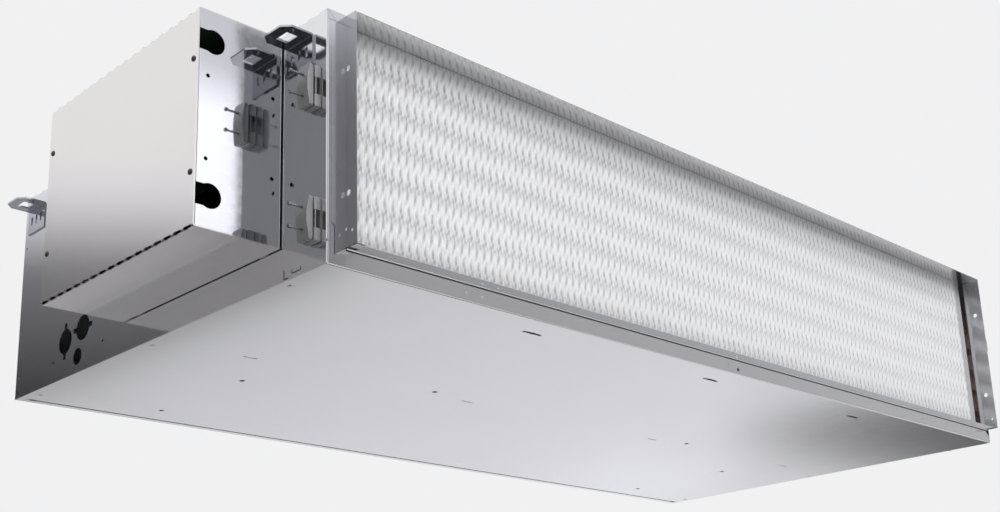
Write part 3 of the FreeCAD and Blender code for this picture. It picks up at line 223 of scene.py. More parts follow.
def layFloor():  # seen from above only, and a little paler to the camera than to the metal
    floor = flatSheet("floor", surroundings["floorSize"], (0, 0, surroundings["floorHeight"]))
    paint = bpy.data.materials.new("paleFloor")
    paint.use_nodes = True
    tree = paint.node_tree
    shader = tree.nodes["Principled BSDF"]
    shader.inputs["Base Color"].default_value = (*surroundings["floorColour"], 1)
    shader.inputs["Roughness"].default_value = surroundings["floorRough"]
    shader.inputs["Emission Color"].default_value = (1, 1, 1, 1)
    rays = tree.nodes.new("ShaderNodeLightPath").outputs
    lift = mathNode(tree, "MULTIPLY", rays["Is Camera Ray"], surroundings["floorLift"])
    tree.links.new(lift, shader.inputs["Emission Strength"])
    clear = tree.nodes.new("ShaderNodeBsdfTransparent")
    side = tree.nodes.new("ShaderNodeNewGeometry")
    both = mixShaders(tree, side.outputs["Backfacing"], shader.outputs[0], clear.outputs[0])
    tree.links.new(both, tree.nodes["Material Output"].inputs["Surface"])
    floor.data.materials.append(paint)


def shadeRamp(tree, value, stops):  # greys between (distance, grey) stops
    first, last = stops[0][0], stops[-1][0]
    share = tree.nodes.new("ShaderNodeMapRange")
    share.inputs["From Min"].default_value = first
    share.inputs["From Max"].default_value = last
    tree.links.new(value, share.inputs["Value"])
    ramp = tree.nodes.new("ShaderNodeValToRGB")
    tree.links.new(share.outputs[0], ramp.inputs[0])
    for number, (distance, grey) in enumerate(stops):
        spot = (distance - first) / (last - first)
        stop = ramp.color_ramp.elements[number] if number < 2 else ramp.color_ramp.elements.new(spot)
        stop.position = spot
        stop.color = (grey, grey, grey, 1)
    return ramp.outputs[0]


def hangCards():
    for name, facts in cards.items():
        card = flatSheet(f"{name}Card", facts["size"], facts["place"], facts.get("turn", (0, 0, 0)))
        card.visible_camera = card.visible_diffuse = card.visible_shadow = card.visible_transmission = False
        paint = bpy.data.materials.new(f"{name}Card")
        paint.use_nodes = True
        tree = paint.node_tree
        tree.nodes.clear()
        place = tree.nodes.new("ShaderNodeTexCoord").outputs["Object"]
        greys = shadeRamp(tree, splitVector(tree, place)[facts["axis"]], facts["stops"])
        # the card glows with its greys, a painted reflection for the metal to show
        glow = tree.nodes.new("ShaderNodeEmission")
        tree.links.new(blendColours(tree, 1, greys, surroundings["cardTint"], "MULTIPLY"), glow.inputs["Color"])
        out = tree.nodes.new("ShaderNodeOutputMaterial")
        tree.links.new(glow.outputs[0], out.inputs["Surface"])
        card.data.materials.append(paint)


placeCamera()
placeLamps()
lightWorld()
layFloor()
hangCards()
bpy.context.scene.view_settings.view_transform = "Standard"
print("camera, lamps and floor placed")


# Shared shader effects

def newGroup(name, inputs, outputs):  # the group, its given values and the results it is to fill
    group = bpy.data.node_groups.new(name, "ShaderNodeTree")
    for label, kind, value in inputs:
        socket = group.interface.new_socket(label, in_out="INPUT", socket_type=f"NodeSocket{kind}")
        if value is not None:
            socket.default_value = value
    for label, kind in outputs:
        group.interface.new_socket(label, in_out="OUTPUT", socket_type=f"NodeSocket{kind}")
    return group, group.nodes.new("NodeGroupInput").outputs, group.nodes.new("NodeGroupOutput").inputs


def scaleColour(tree, colour, factor):
    tone = tree.nodes.new("ShaderNodeVectorMath")
    tone.operation = "SCALE"
    tree.links.new(colour, tone.inputs[0])
    tree.links.new(factor, tone.inputs["Scale"])
    return tone.outputs[0]


spangleLook = {"cloud": (9.0, 3.0, 0.55), "fine": (900.0, 2.0, 0.6), "crystalShare": 0.45, "cloudShare": 0.4,
               "fineShare": 0.15, "roughSwing": 1.2}


def zincSpangle():  # the frosted, patchy crystals of galvanised sheet
    facts = spangleLook
    group, given, result = newGroup(
        "zincSpangle",
        [("Vector", "Vector", None), ("Colour", "Color", (0.6, 0.6, 0.63, 1)), ("Contrast", "Float", 0.1),
         ("Roughness", "Float", 0.35), ("Crystals", "Float", 140.0)],
        [("Colour", "Color"), ("Roughness", "Float"), ("Height", "Float")])
    times, plus, minus = sums(group, "MULTIPLY", "ADD", "SUBTRACT")
    cells = group.nodes.new("ShaderNodeTexVoronoi")
    group.links.new(given["Vector"], cells.inputs["Vector"])
    group.links.new(given["Crystals"], cells.inputs["Scale"])
    grey = group.nodes.new("ShaderNodeSeparateColor")
    group.links.new(cells.outputs["Color"], grey.inputs[0])
    cloud = times(noiseNode(group, given["Vector"], *facts["cloud"]), facts["cloudShare"])
    fine = times(noiseNode(group, given["Vector"], *facts["fine"]), facts["fineShare"])
    mixed = plus(times(grey.outputs[0], facts["crystalShare"]), plus(cloud, fine))
    swing = times(minus(mixed, 0.5), given["Contrast"])
    rough = plus(given["Roughness"], times(swing, facts["roughSwing"]), True)
    group.links.new(scaleColour(group, given["Colour"], plus(swing, 1.0)), result["Colour"])
    group.links.new(rough, result["Roughness"])
    group.links.new(mixed, result["Height"])
    return group


grainLook = {"lines": (1.0, 3.0, 0.6), "cloud": (14.0, 2.0, 0.5), "lineShare": 0.65, "cloudShare": 0.35}


def drawnGrain():  # fine parallel lines left by rolling, drawing or turning
    facts = grainLook
    group, given, result = newGroup(
        "drawnGrain",
        [("Vector", "Vector", None), ("Stretch", "Vector", (4, 900, 900)),
         ("Colour", "Color", (0.6, 0.6, 0.62, 1)), ("Contrast", "Float", 0.12)],
        [("Colour", "Color"), ("Height", "Float")])
    times, plus, minus = sums(group, "MULTIPLY", "ADD", "SUBTRACT")
    stretch = group.nodes.new("ShaderNodeVectorMath")
    stretch.operation = "MULTIPLY"
    group.links.new(given["Vector"], stretch.inputs[0])
    group.links.new(given["Stretch"], stretch.inputs[1])
    lines = noiseNode(group, stretch.outputs[0], *facts["lines"])
    cloud = noiseNode(group, given["Vector"], *facts["cloud"])
    mixed = plus(times(lines, facts["lineShare"]), times(cloud, facts["cloudShare"]))
    swing = times(minus(mixed, 0.5), given["Contrast"])
    group.links.new(scaleColour(group, given["Colour"], plus(swing, 1.0)), result["Colour"])
    group.links.new(lines, result["Height"])
    return group


dustLook = {"detail": 5.0, "distortion": 0.6, "clean": 0.42, "gain": 4.0}


def handlingDust():  # faint smears and settled dust
    facts = dustLook
    group, given, result = newGroup(
        "handlingDust",
        [("Vector", "Vector", None), ("Colour", "Color", (0.6, 0.6, 0.62, 1)),
         ("Dust", "Color", (0.7, 0.68, 0.64, 1)), ("Amount", "Float", 0.06), ("Scale", "Float", 6.0)],
        [("Colour", "Color"), ("Mask", "Float")])
    times, minus = sums(group, "MULTIPLY", "SUBTRACT")
    broad = group.nodes.new("ShaderNodeTexNoise")
    group.links.new(given["Vector"], broad.inputs["Vector"])
    group.links.new(given["Scale"], broad.inputs["Scale"])
    broad.inputs["Detail"].default_value = facts["detail"]
    broad.inputs["Distortion"].default_value = facts["distortion"]
    smears = times(minus(broad.outputs["Fac"], facts["clean"], True), facts["gain"], True)
    mask = times(smears, given["Amount"])
    group.links.new(blendColours(group, mask, given["Colour"], given["Dust"]), result["Colour"])
    group.links.new(mask, result["Mask"])
    return group


effects = {"spangle": zincSpangle(), "grain": drawnGrain(), "dust": handlingDust()}


# Materials

finishes = {
    "galvanised": {"colour": (0.84, 0.84, 0.87), "metal": 0.97, "rough": 0.10, "contrast": 0.03, "crystals": 150},
    "brightGalvanised": {"colour": (0.88, 0.89, 0.92), "metal": 1.0, "rough": 0.05, "contrast": 0.03,
                         "crystals": 190},
    "boxCoverSheet": {"colour": (0.87, 0.85, 0.83), "metal": 0.93, "rough": 0.13, "contrast": 0.02,
                      "crystals": 160},
    "panelSheet": {"colour": (0.85, 0.85, 0.86), "metal": 0.93, "rough": 0.13, "contrast": 0.02, "crystals": 150},
    # The brackets' steel is darkened as painted shade, standing in for the dark reflections on them.
    "bracketSteelPaintedShade": {"colour": (0.60, 0.61, 0.65), "metal": 1.0, "rough": 0.12, "contrast": 0.04,
                     "crystals": 320},
    "fanSteel": {"colour": (0.66, 0.68, 0.71), "metal": 0.85, "rough": 0.28, "contrast": 0.04, "crystals": 120},
    # The collar's side plates take the galvanised sheet darkened as painted shade.
    "collarSheetPaintedShade": {"colour": (0.58, 0.58, 0.60), "metal": 0.97, "rough": 0.13, "contrast": 0.03, "crystals": 150},
    # The collar's top takes the same sheet lightened as a painted reflection of the bright coil.
    "collarTopSheetPaintedReflection": {"colour": (0.80, 0.80, 0.81), "metal": 0.97, "rough": 0.09, "contrast": 0.03,
                       "crystals": 150},
    "coilPlate": {"colour": (0.74, 0.75, 0.77), "metal": 0.6, "rough": 0.30, "contrast": 0.05, "crystals": 150},
}
metals = {
    "copperTube": {"colour": (0.72, 0.38, 0.24), "metal": 0.95, "rough": 0.30, "contrast": 0.16,
                   "stretch": (20, 20, 60), "dust": 0.10},
    "brassFitting": {"colour": (0.76, 0.58, 0.28), "metal": 0.95, "rough": 0.27, "contrast": 0.10,
                     "stretch": (700, 40, 40), "dust": 0.05},
    # The clamps' metal is darkened as painted shade, for their shadowed side and its mirror image in the box wall.
    "clampMetalPaintedShade": {"colour": (0.29, 0.29, 0.30), "metal": 0.6, "rough": 0.36, "contrast": 0.10,
                   "stretch": (120, 120, 120), "dust": 0.06},
    "screwSteel": {"colour": (0.46, 0.46, 0.48), "metal": 1.0, "rough": 0.25, "contrast": 0.10,
                   "stretch": (300, 300, 300), "dust": 0.0},
    "darkenedSteel": {"colour": (0.12, 0.12, 0.13), "metal": 0.9, "rough": 0.35, "contrast": 0.10,
                      "stretch": (300, 300, 300), "dust": 0.0},
    "shaftSteel": {"colour": (0.66, 0.67, 0.69), "metal": 1.0, "rough": 0.20, "contrast": 0.12,
                   "stretch": (900, 20, 20), "dust": 0.02},
    "filterAluminium": {"colour": (0.70, 0.71, 0.73), "metal": 0.85, "rough": 0.32, "contrast": 0.10,
                        "stretch": (6, 700, 700), "dust": 0.05},
}
plastics = {
    "motorPaint": {"colour": (0.035, 0.038, 0.045), "rough": 0.40, "bump": 0.08, "scale": 900, "dust": 0.10},
    "terminalPlastic": {"colour": (0.78, 0.77, 0.72), "rough": 0.38, "bump": 0.05, "scale": 1200, "dust": 0.05},
    "boardLaminate": {"colour": (0.02, 0.13, 0.055), "rough": 0.35, "bump": 0.05, "scale": 700, "dust": 0.05},
    "capacitorCase": {"colour": (0.03, 0.033, 0.04), "rough": 0.30, "bump": 0.05, "scale": 900, "dust": 0.06},
    "foamLiner": {"colour": (0.03, 0.03, 0.033), "rough": 0.85, "bump": 0.5, "scale": 420, "dust": 0.12},
}


# Material values that every finish of a kind shares
sheetDust = 0.10
dustScale = {"finishes": 6.0, "metals": 20.0, "plastics": 30.0}
relief = {"finishes": (0.03, 0.0001), "metals": (0.10, 0.0001)}  # strength and distance of the bump
plasticRelief = 0.0003  # its distance on plastics, which have a strength of their own


def newMaterial(name, rough, metal=0):
    material = bpy.data.materials.new(name)
    material.use_nodes = True
    tree = material.node_tree
    shader = tree.nodes["Principled BSDF"]
    shader.inputs["Roughness"].default_value = rough
    shader.inputs["Metallic"].default_value = metal
    return material, tree, shader, tree.nodes.new("ShaderNodeTexCoord").outputs["Object"]


def useEffect(tree, name, values):
    step = tree.nodes.new("ShaderNodeGroup")
    step.node_tree = effects[name]
    for label, value in values.items():
        setSocket(tree, step.inputs[label], value)
    return step.outputs


def dustOver(tree, shader, place, colour, amount, scale):
    dust = useEffect(tree, "dust", {"Vector": place, "Colour": colour, "Amount": amount, "Scale": scale})
    tree.links.new(dust["Colour"], shader.inputs["Base Color"])


def addBump(tree, shader, height, strength, distance):
    bump = tree.nodes.new("ShaderNodeBump")
    bump.inputs["Strength"].default_value = strength
    bump.inputs["Distance"].default_value = distance
    tree.links.new(height, bump.inputs["Height"])
    tree.links.new(bump.outputs[0], shader.inputs["Normal"])


materials = {}
for name, facts in finishes.items():
    materials[name], tree, shader, place = newMaterial(name, facts["rough"], facts["metal"])
    values = {"Contrast": facts["contrast"], "Roughness": facts["rough"], "Crystals": facts["crystals"]}
    spangle = useEffect(tree, "spangle", {"Vector": place, "Colour": facts["colour"], **values})
    dustOver(tree, shader, place, spangle["Colour"], sheetDust, dustScale["finishes"])
    tree.links.new(spangle["Roughness"], shader.inputs["Roughness"])
    addBump(tree, shader, spangle["Height"], *relief["finishes"])
for name, facts in metals.items():
    materials[name], tree, shader, place = newMaterial(name, facts["rough"], facts["metal"])
    values = {"Contrast": facts["contrast"], "Stretch": facts["stretch"]}
    grain = useEffect(tree, "grain", {"Vector": place, "Colour": facts["colour"], **values})
    dustOver(tree, shader, place, grain["Colour"], facts["dust"], dustScale["metals"])
    addBump(tree, shader, grain["Height"], *relief["metals"])
for name, facts in plastics.items():
    materials[name], tree, shader, place = newMaterial(name, facts["rough"])
    dustOver(tree, shader, place, facts["colour"], facts["dust"], dustScale["plastics"])
    addBump(tree, shader, noiseNode(tree, place, facts["scale"]), facts["bump"], plasticRelief)


# The grey is painted shade in the slots between the fins, laid in swaying streaks that fade row by row; the white
# is the fins' own aluminium.
finPattern = {"column": 0.0099, "row": 0.036, "sway": 1.2, "drift": (60.0, 1.2), "loose": (160.0, 2.0), "lag": 2.2,
              "sharp": 4.0, "rowSwing": 0.38, "rowLevel": 0.40, "fineRate": 4.0, "fineShare": 0.14,
              "white": (0.93, 0.93, 0.94), "grey": (0.42, 0.42, 0.45), "rough": 0.45, "metal": 0.2,
              "relief": (0.3, 0.001)}


def finAluminium():  # bright waved fin edges, with painted shade in the slots between them
    facts = finPattern
    material, tree, shader, place = newMaterial("finAluminium", facts["rough"], facts["metal"])
    times, plus, sine = sums(tree, "MULTIPLY", "ADD", "SINE")
    split = splitVector(tree, place)
    across = times(split[0], 2 * math.pi / facts["column"])
    up = times(split[2], 2 * math.pi / facts["row"])
    scale, share = facts["drift"]
    sway = plus(times(sine(up), facts["sway"]), times(noiseNode(tree, place, scale), share))
    scale, share = facts["loose"]
    loose = times(noiseNode(tree, place, scale, 1.0), share)
    streaks = []
    for turn, lag in ((0, 0), (math.pi, facts["lag"])):
        column = mathNode(tree, "COSINE", plus(across, plus(sway, turn)))
        column = mathNode(tree, "POWER", plus(times(column, 0.5), 0.5), facts["sharp"])
        row = times(sine(plus(up, plus(loose, lag))), facts["rowSwing"])
        streaks.append(times(column, plus(row, facts["rowLevel"])))
    fine = plus(times(sine(plus(times(across, facts["fineRate"]), sway)), 0.5), 0.5)
    # painted shade between the fins, which also gives the bump
    paintedSlotShade = plus(plus(*streaks), times(fine, facts["fineShare"]), True)
    tree.links.new(blendColours(tree, paintedSlotShade, facts["white"], facts["grey"]), shader.inputs["Base Color"])
    addBump(tree, shader, paintedSlotShade, *facts["relief"])
    return material


weavePattern = {"pitch": 0.0022, "shade": (0.42, 0.43, 0.45), "thread": (0.86, 0.87, 0.88), "rough": 0.8,
                "relief": (0.5, 0.0006)}


def filterWeave():  # crossing threads of the filter's mesh
    facts = weavePattern
    material, tree, shader, place = newMaterial("filterWeave", facts["rough"])
    split = splitVector(tree, place)
    threads = []
    for axis in (0, 2):
        turns = mathNode(tree, "MULTIPLY", split[axis], 2 * math.pi / facts["pitch"])
        threads.append(mathNode(tree, "ABSOLUTE", mathNode(tree, "SINE", turns)))
    weave = mathNode(tree, "MAXIMUM", *threads)
    tree.links.new(blendColours(tree, weave, facts["shade"], facts["thread"]), shader.inputs["Base Color"])
    addBump(tree, shader, weave, *facts["relief"])
    return material


materials["finAluminium"] = finAluminium()
materials["filterWeave"] = filterWeave()
print("materials made")


# Mesh helpers

before, through = 5, 12  # cutting rods start this far before a sheet, and are this long
past = 2  # how far cutting blocks pass a face
slack = 0.02  # keeps faces that would touch apart


def addBox(bm, low, high):  # a block between two corners
    made = bmesh.ops.create_cube(bm, size=1)["verts"]
    size = Vector(high) - Vector(low)
    bmesh.ops.scale(bm, vec=size, verts=made)
    bmesh.ops.translate(bm, vec=Vector(low) + size / 2, verts=made)
    return made


def vertsOf(items):
    return [item for item in items if isinstance(item, bmesh.types.BMVert)]


def standAlong(bm, verts, foot, along):  # turns an upright shape along a vector and sets it on its foot
    turn = Vector((0, 0, 1)).rotation_difference(Vector(along)).to_matrix()
    bmesh.ops.rotate(bm, cent=(0, 0, 0), matrix=turn, verts=verts)
    bmesh.ops.translate(bm, vec=foot, verts=verts)


def turnedBox(bm, low, high, degrees, axis, place):  # a block turned about the origin and moved to its place
    made = addBox(bm, low, high)
    bmesh.ops.rotate(bm, cent=(0, 0, 0), matrix=Matrix.Rotation(math.radians(degrees), 3, axis), verts=made)
    bmesh.ops.translate(bm, vec=place, verts=made)


def addRod(bm, foot, along, radius, sides=32):  # a round bar from its foot along a vector
    length = Vector(along).length
    made = bmesh.ops.create_cone(bm, cap_ends=True, segments=sides, radius1=radius, radius2=radius,
                                 depth=length)["verts"]
    bmesh.ops.translate(bm, vec=(0, 0, length / 2), verts=made)
    standAlong(bm, made, foot, along)
    return made


def bevelEdges(bm, edges, width, segments):
    bmesh.ops.bevel(bm, geom=edges, offset=width, offset_type="OFFSET", segments=segments, profile=0.5,
                    affect="EDGES", material=-1, clamp_overlap=True)


def takeIn(bm, part):  # adds a finished bmesh to another and lets it go
    mesh = bpy.data.meshes.new("part")
    part.to_mesh(mesh)
    part.free()
    bm.from_mesh(mesh)
    bpy.data.meshes.remove(mesh)


def foldSheet(bm, profile, run, thickness, radius=casing["foldRadius"], inside=None):
    # a sheet bent along the corners of a profile and swept along a run, with its thickness towards the inside
    band = bmesh.new()
    corners = [band.verts.new(point) for point in profile]
    path = [band.edges.new(pair) for pair in zip(corners, corners[1:])]
    swept = bmesh.ops.extrude_edge_only(band, edges=path)["geom"]
    bmesh.ops.translate(band, vec=run, verts=vertsOf(swept))
    folds = [edge for edge in band.edges if len(edge.link_faces) == 2]
    if folds:
        bevelEdges(band, folds, radius, 4)
    if inside is None:
        inside = sum((Vector(point) for point in profile), Vector()) / len(profile)
    middle = Vector(inside) + Vector(run) / 2
    band.normal_update()
    facing = sum(face.normal.dot(middle - face.calc_center_median()) * face.calc_area() for face in band.faces)
    if facing > 0:
        bmesh.ops.reverse_faces(band, faces=band.faces)
    bmesh.ops.solidify(band, geom=band.faces[:], thickness=thickness)
    takeIn(bm, band)


def bevelBox(bm, low, high, width):  # a block with all its edges rounded
    part = bmesh.new()
    addBox(part, low, high)
    bevelEdges(part, part.edges[:], width, 2)
    takeIn(bm, part)


def lathe(bm, profile, foot, along, steps=40):  # turns (radius, height) points about a line
    part = bmesh.new()
    points = [part.verts.new((radius, 0, height)) for radius, height in profile]
    path = [part.edges.new(pair) for pair in zip(points, points[1:])]
    bmesh.ops.spin(part, geom=points + path, cent=(0, 0, 0), axis=(0, 0, 1), angle=2 * math.pi, steps=steps,
                   use_merge=True)
    bmesh.ops.remove_doubles(part, verts=part.verts, dist=0.001)
    bmesh.ops.recalc_face_normals(part, faces=part.faces)
    standAlong(part, part.verts, foot, along)
    takeIn(bm, part)


def arcPoints(part, start, centre, axis, angle, steps):  # a vertex swung round a centre, as a chain of edges
    swung = bmesh.ops.spin(part, geom=[start], cent=centre, axis=axis, angle=angle, steps=steps)["geom_last"]
    return vertsOf(swung)[0]


def tubeBend(bm, start, along, centre, axis, radius):  # a round tube swung half round a centre
    part = bmesh.new()
    end = bmesh.ops.create_circle(part, cap_ends=True, segments=20, radius=radius)["verts"]
    standAlong(part, end, start, along)
    bmesh.ops.spin(part, geom=part.faces[:] + part.edges[:] + part.verts[:], cent=centre, axis=axis, angle=math.pi,
                   steps=16)
    bmesh.ops.recalc_face_normals(part, faces=part.faces)
    takeIn(bm, part)


def discard(thing):
    mesh = thing.data
    bpy.data.objects.remove(thing)
    bpy.data.meshes.remove(mesh)


def applyModifiers(thing):
    graph = bpy.context.evaluated_depsgraph_get()
    solid = bpy.data.meshes.new_from_object(thing.evaluated_get(graph))
    old = thing.data
    thing.modifiers.clear()
    thing.data = solid
    bpy.data.meshes.remove(old)
    thing.data.name = thing.name


def cutAway(thing, tools):  # takes the tool solids out of a piece
    cutter = meshObject(f"{thing.name}Cutter", tools)
    step = thing.modifiers.new("cut", "BOOLEAN")
    step.operation = "DIFFERENCE"
    step.solver = "EXACT"
    step.use_self = True
    step.object = cutter
    applyModifiers(thing)
    discard(cutter)


def piece(name, bm, material, body="casing", smooth=30, replaced=(), tools=None):
    # cuts, scales and places a mesh, gives it its finish, hangs it on its body and hides the frame's nodes that it
    # replaces
    thing = meshObject(name, bm)
    if tools is not None:
        cutAway(thing, tools)
    mesh = thing.data
    mesh.transform(Matrix.Scale(mm, 4) @ Matrix.Translation(cornerOffset))
    mesh.materials.clear()
    mesh.materials.append(materials[material])
    mesh.polygons.foreach_set("use_smooth", [True] * len(mesh.polygons))
    mesh.set_sharp_from_angle(angle=math.radians(smooth))
    flatten = thing.modifiers.new("flatten", "WEIGHTED_NORMAL")
    flatten.keep_sharp = True
    applyModifiers(thing)
    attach(thing, body)
    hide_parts(*replaced)


# Casing

sidePanel = {
    "frontReturn": 21,
    "rearReturn": 10,
    "footReturn": 14,
    "footGap": 0.05,
    "topReturn": 10,
    "mitreGap": 0.4,
    "mitreStart": 1.7,
    "frontSlit": {"across": 8.5, "low": 10, "top": 37, "half": 0.45, "tip": 4.2},
    "cornerNotch": (21, 23.4),
    "returnDepth": 1.3,
    "roundHoles": ((477, 43, 14.5), (438, 50, 14.5), (447, 19, 9.5)),
    "screwHoles": ((53, 172, 2.0), (54, 92, 2.0), (392, 24, 1.6), (503, 24, 1.6), (588, 185, 1.4), (588, 55, 1.4),
                   (588, 24, 1.4), (588, 7, 1.4)),
    "lobes": (((474, 22), (480, 64)), ((417, 47), (459, 53))),
    "slits": (((56, 1.6), (64, 2.8)), ((62.6, 2.4), (64, 11)), ((38, 4.6), (52, 5.6)), ((51, 4.6), (52, 9)),
              ((38, 4.6), (39, 9))),
    "pipeSlots": (26.75, 54.25),
    "pipeSlotReach": 7.6,
    "pipeSlotRise": (52.5, 179.5),
    "drainHole": (78, 15, 11.2),
    "filterSlot": ((585.2, 593.0), (12, 238)),
}
topSheet = {"perforation": {"pitch": 17.6, "cut": 12.0, "start": 12, "depth": 2.6}, "mitre": 1.2, "mitreRun": 13.5}
bottomSheet = {
    "lip": 16.3,
    "rearLip": 10,
    "notch": 9,
    "serviceRadius": 3.3,
    "cornerRadius": 2.7,
    "serviceHoles": ((367, 272), (160, 366), (160, 538), (843, 272), (1050, 366), (1050, 538)),
    "cornerHoles": ((10, 68), (10, 306), (13, 556), (1200, 68), (1200, 306), (1197, 556)),
    "rearSeam": {"inset": 12, "width": 3.2, "ends": 13, "slot": (8, 13)},
    "deckSlots": (114, 429, 781, 1096),
    "deckSlot": (281.8, 284.2),
    "deckSlotHalf": 8.5,
    "lancedTabs": (290, 589, 896),
    "tab": {"back": 35, "spread": 11, "holeRadius": 2.2, "width": 12, "flatness": 0.19, "lead": 0.6},
    "lipHoles": ((597, 6, 2.1), (579, 9, 0.9), (971, 6, 0.9), (1019, 9, 0.9)),
    "lipNubs": ((187, 8), (166, 8)),
}


def perforate(tools, facts, count, origin, edge, heights):  # a row of cuts along a fold, where the sheet was bent
    for number in range(count):
        near = origin + facts["start"] + number * facts["pitch"]
        for low, top in heights:
            addBox(tools, (edge - past, near, low), (edge + facts["depth"], near + facts["cut"], top))


def leftSidePanel():
    facts = sidePanel
    bm = bmesh.new()
    corners = ((facts["frontReturn"], 0), (0, 0), (0, deep), (facts["rearReturn"], deep))
    foldSheet(bm, [(*corner, sheet) for corner in corners], (0, 0, high - 2 * sheet), sheet)
    foot = facts["footReturn"]
    addBox(bm, (sheet, 2 * sheet, sheet + facts["footGap"]), (sheet + foot, deep - 2 * sheet, 2 * sheet))
    tools = bmesh.new()
    for back, height, radius in facts["roundHoles"] + facts["screwHoles"]:
        addRod(tools, (-before, back, height), (through, 0, 0), radius, 40)
    for (nearBack, low), (farBack, top) in facts["lobes"] + facts["slits"]:
        addBox(tools, (-before, nearBack, low), (through - before, farBack, top))
    behind = facts["returnDepth"]
    low = high - facts["topReturn"] - facts["mitreGap"]
    addBox(tools, (facts["mitreStart"], -past, low), (30, behind, high + past))
    slit = facts["frontSlit"]
    across, half = slit["across"], slit["half"]
    addBox(tools, (across - half, -past, slit["low"]), (across + half, past, slit["top"]))
    turnedBox(tools, (-slit["tip"], -past, -half), (0.2, past, half), 45, "Y", (across, 0, slit["top"]))
    low, top = facts["cornerNotch"]
    addBox(tools, (-1, -past, low), (behind, behind, top))
    piece("leftSidePanel", bm, "galvanised", replaced=("left_side_panel",), tools=tools)


def rightSidePanel():
    facts = sidePanel
    bm = bmesh.new()
    corners = ((long - facts["rearReturn"], deep), (long, deep), (long, 0))
    foldSheet(bm, [(*corner, sheet) for corner in corners], (0, 0, high - 2 * sheet), sheet)
    foot = facts["footReturn"]
    start = (long - sheet - foot, 2 * sheet, sheet + facts["footGap"])
    addBox(bm, start, (long - sheet, deep - 2 * sheet, 2 * sheet))
    tools = bmesh.new()
    for back, height, radius in facts["screwHoles"] + (facts["drainHole"],):
        addRod(tools, (long - through / 2, back, height), (through, 0, 0), radius, 40)
    reach = facts["pipeSlotReach"]
    low, top = facts["pipeSlotRise"]
    for back in facts["pipeSlots"]:
        addBox(tools, (long - before, back - reach, low - reach), (long + before, back + reach, top + reach))
    (near, far), (low, top) = facts["filterSlot"]
    addBox(tools, (long - 3, near, low), (long + before, far, top))
    piece("rightSidePanel", bm, "galvanised", replaced=("right_side_panel",), tools=tools)


def topPanel():
    front, rear = sidePanel["frontReturn"], high - sidePanel["rearReturn"]
    bm = bmesh.new()
    foldSheet(bm, [(0, deep, rear), (0, deep, high), (0, 0, high)], (long, 0, 0), sheet)
    addBox(bm, (sheet + 0.4, 0, high - sidePanel["topReturn"]), (front, sheet, high - sheet - slack))
    tools = bmesh.new()
    corner = topSheet["mitre"]
    turnedBox(tools, (0, -past, 0), (topSheet["mitreRun"], 0.5, 0.4), 45, "Y", (corner, 0, high - corner))
    for across in (-before, long - front):
        addBox(tools, (across, deep - 4, rear - past), (across + front + before, deep + past, high - sheet))
    facts = topSheet["perforation"]
    count = int((deep - facts["start"] * 2) / facts["pitch"])
    perforate(tools, facts, count, 0, 0, ((high - facts["depth"], high + past),))
    piece("topPanel", bm, "galvanised", replaced=("top_panel",), tools=tools)


nub = ((0, 0), (1.5, 0), (1.1, 0.5), (0, 0.7))  # a pressed pimple on a lip, as (radius, height) points


def bottomPanel():
    facts = bottomSheet
    bm = bmesh.new()
    corners = ((0, facts["lip"]), (0, 0), (deep, 0), (deep, facts["rearLip"]))
    foldSheet(bm, [(0, *corner) for corner in corners], (long, 0, 0), sheet)
    tools = bmesh.new()
    ends = sidePanel["frontReturn"]
    addBox(tools, (-before, -past, sheet), (ends, 6, high))
    addBox(tools, (long - sheet, -past, sheet), (long + past, 6, high))
    turnedBox(tools, (-10, -past, 0), (20, 6, 12), 45, "Y", (long - sheet - facts["notch"], 0, facts["lip"]))
    for across in (-before, long - ends):
        addBox(tools, (across, deep - 5, sheet), (across + ends + before, deep + past, high))
    for across, back in facts["serviceHoles"]:
        addRod(tools, (across, back, -before), (0, 0, through), facts["serviceRadius"], 32)
    for across, back in facts["cornerHoles"]:
        addRod(tools, (across, back, -before), (0, 0, through), facts["cornerRadius"], 24)
    half = facts["deckSlotHalf"]
    near, far = facts["deckSlot"]
    for across in facts["deckSlots"]:
        addBox(tools, (across - half, near, -before), (across + half, far, before))
    tab = facts["tab"]
    for across in facts["lancedTabs"]:
        for side in (-1, 1):
            foot = (across + side * tab["spread"], tab["back"], -before)
            addRod(tools, foot, (0, 0, through), tab["holeRadius"], 24)
        crescent = addRod(tools, (0, 0, -before), (0, 0, through), tab["width"], 32)
        bmesh.ops.scale(tools, vec=(1, tab["flatness"], 1), verts=crescent)
        bmesh.ops.translate(tools, vec=(across, tab["back"] - tab["lead"], 0), verts=crescent)
    seam = facts["rearSeam"]
    back, half, ends = deep - seam["inset"], seam["width"] / 2, seam["ends"]
    addBox(tools, (ends, back - half, -before), (long - ends, back + half, before))
    start, run = seam["slot"]
    for low in (start, long - start - run):
        addBox(tools, (low, back - 3, -before), (low + run, back + 3, before))
    for across, height, radius in facts["lipHoles"]:
        addRod(tools, (across, -past, height), (0, 6, 0), radius, 24)
    for across, height in facts["lipNubs"]:
        lathe(bm, nub, (across, 0.1, height), (0, -1, 0), 16)
    piece("bottomPanel", bm, "panelSheet", replaced=("bottom_panel",), tools=tools)


leftSidePanel()
rightSidePanel()
topPanel()
bottomPanel()
print("casing made")


# Duct collar

collar = {"reach": 15, "return": 10, "foot": 19, "footWidth": 9, "gap": 1.5, "holes": (71, 194), "holeForward": 4,
          "holeRadius": 3, "marks": ((-9, 34), (0, 37)), "markRadius": 1.6, "tuck": 0.01}


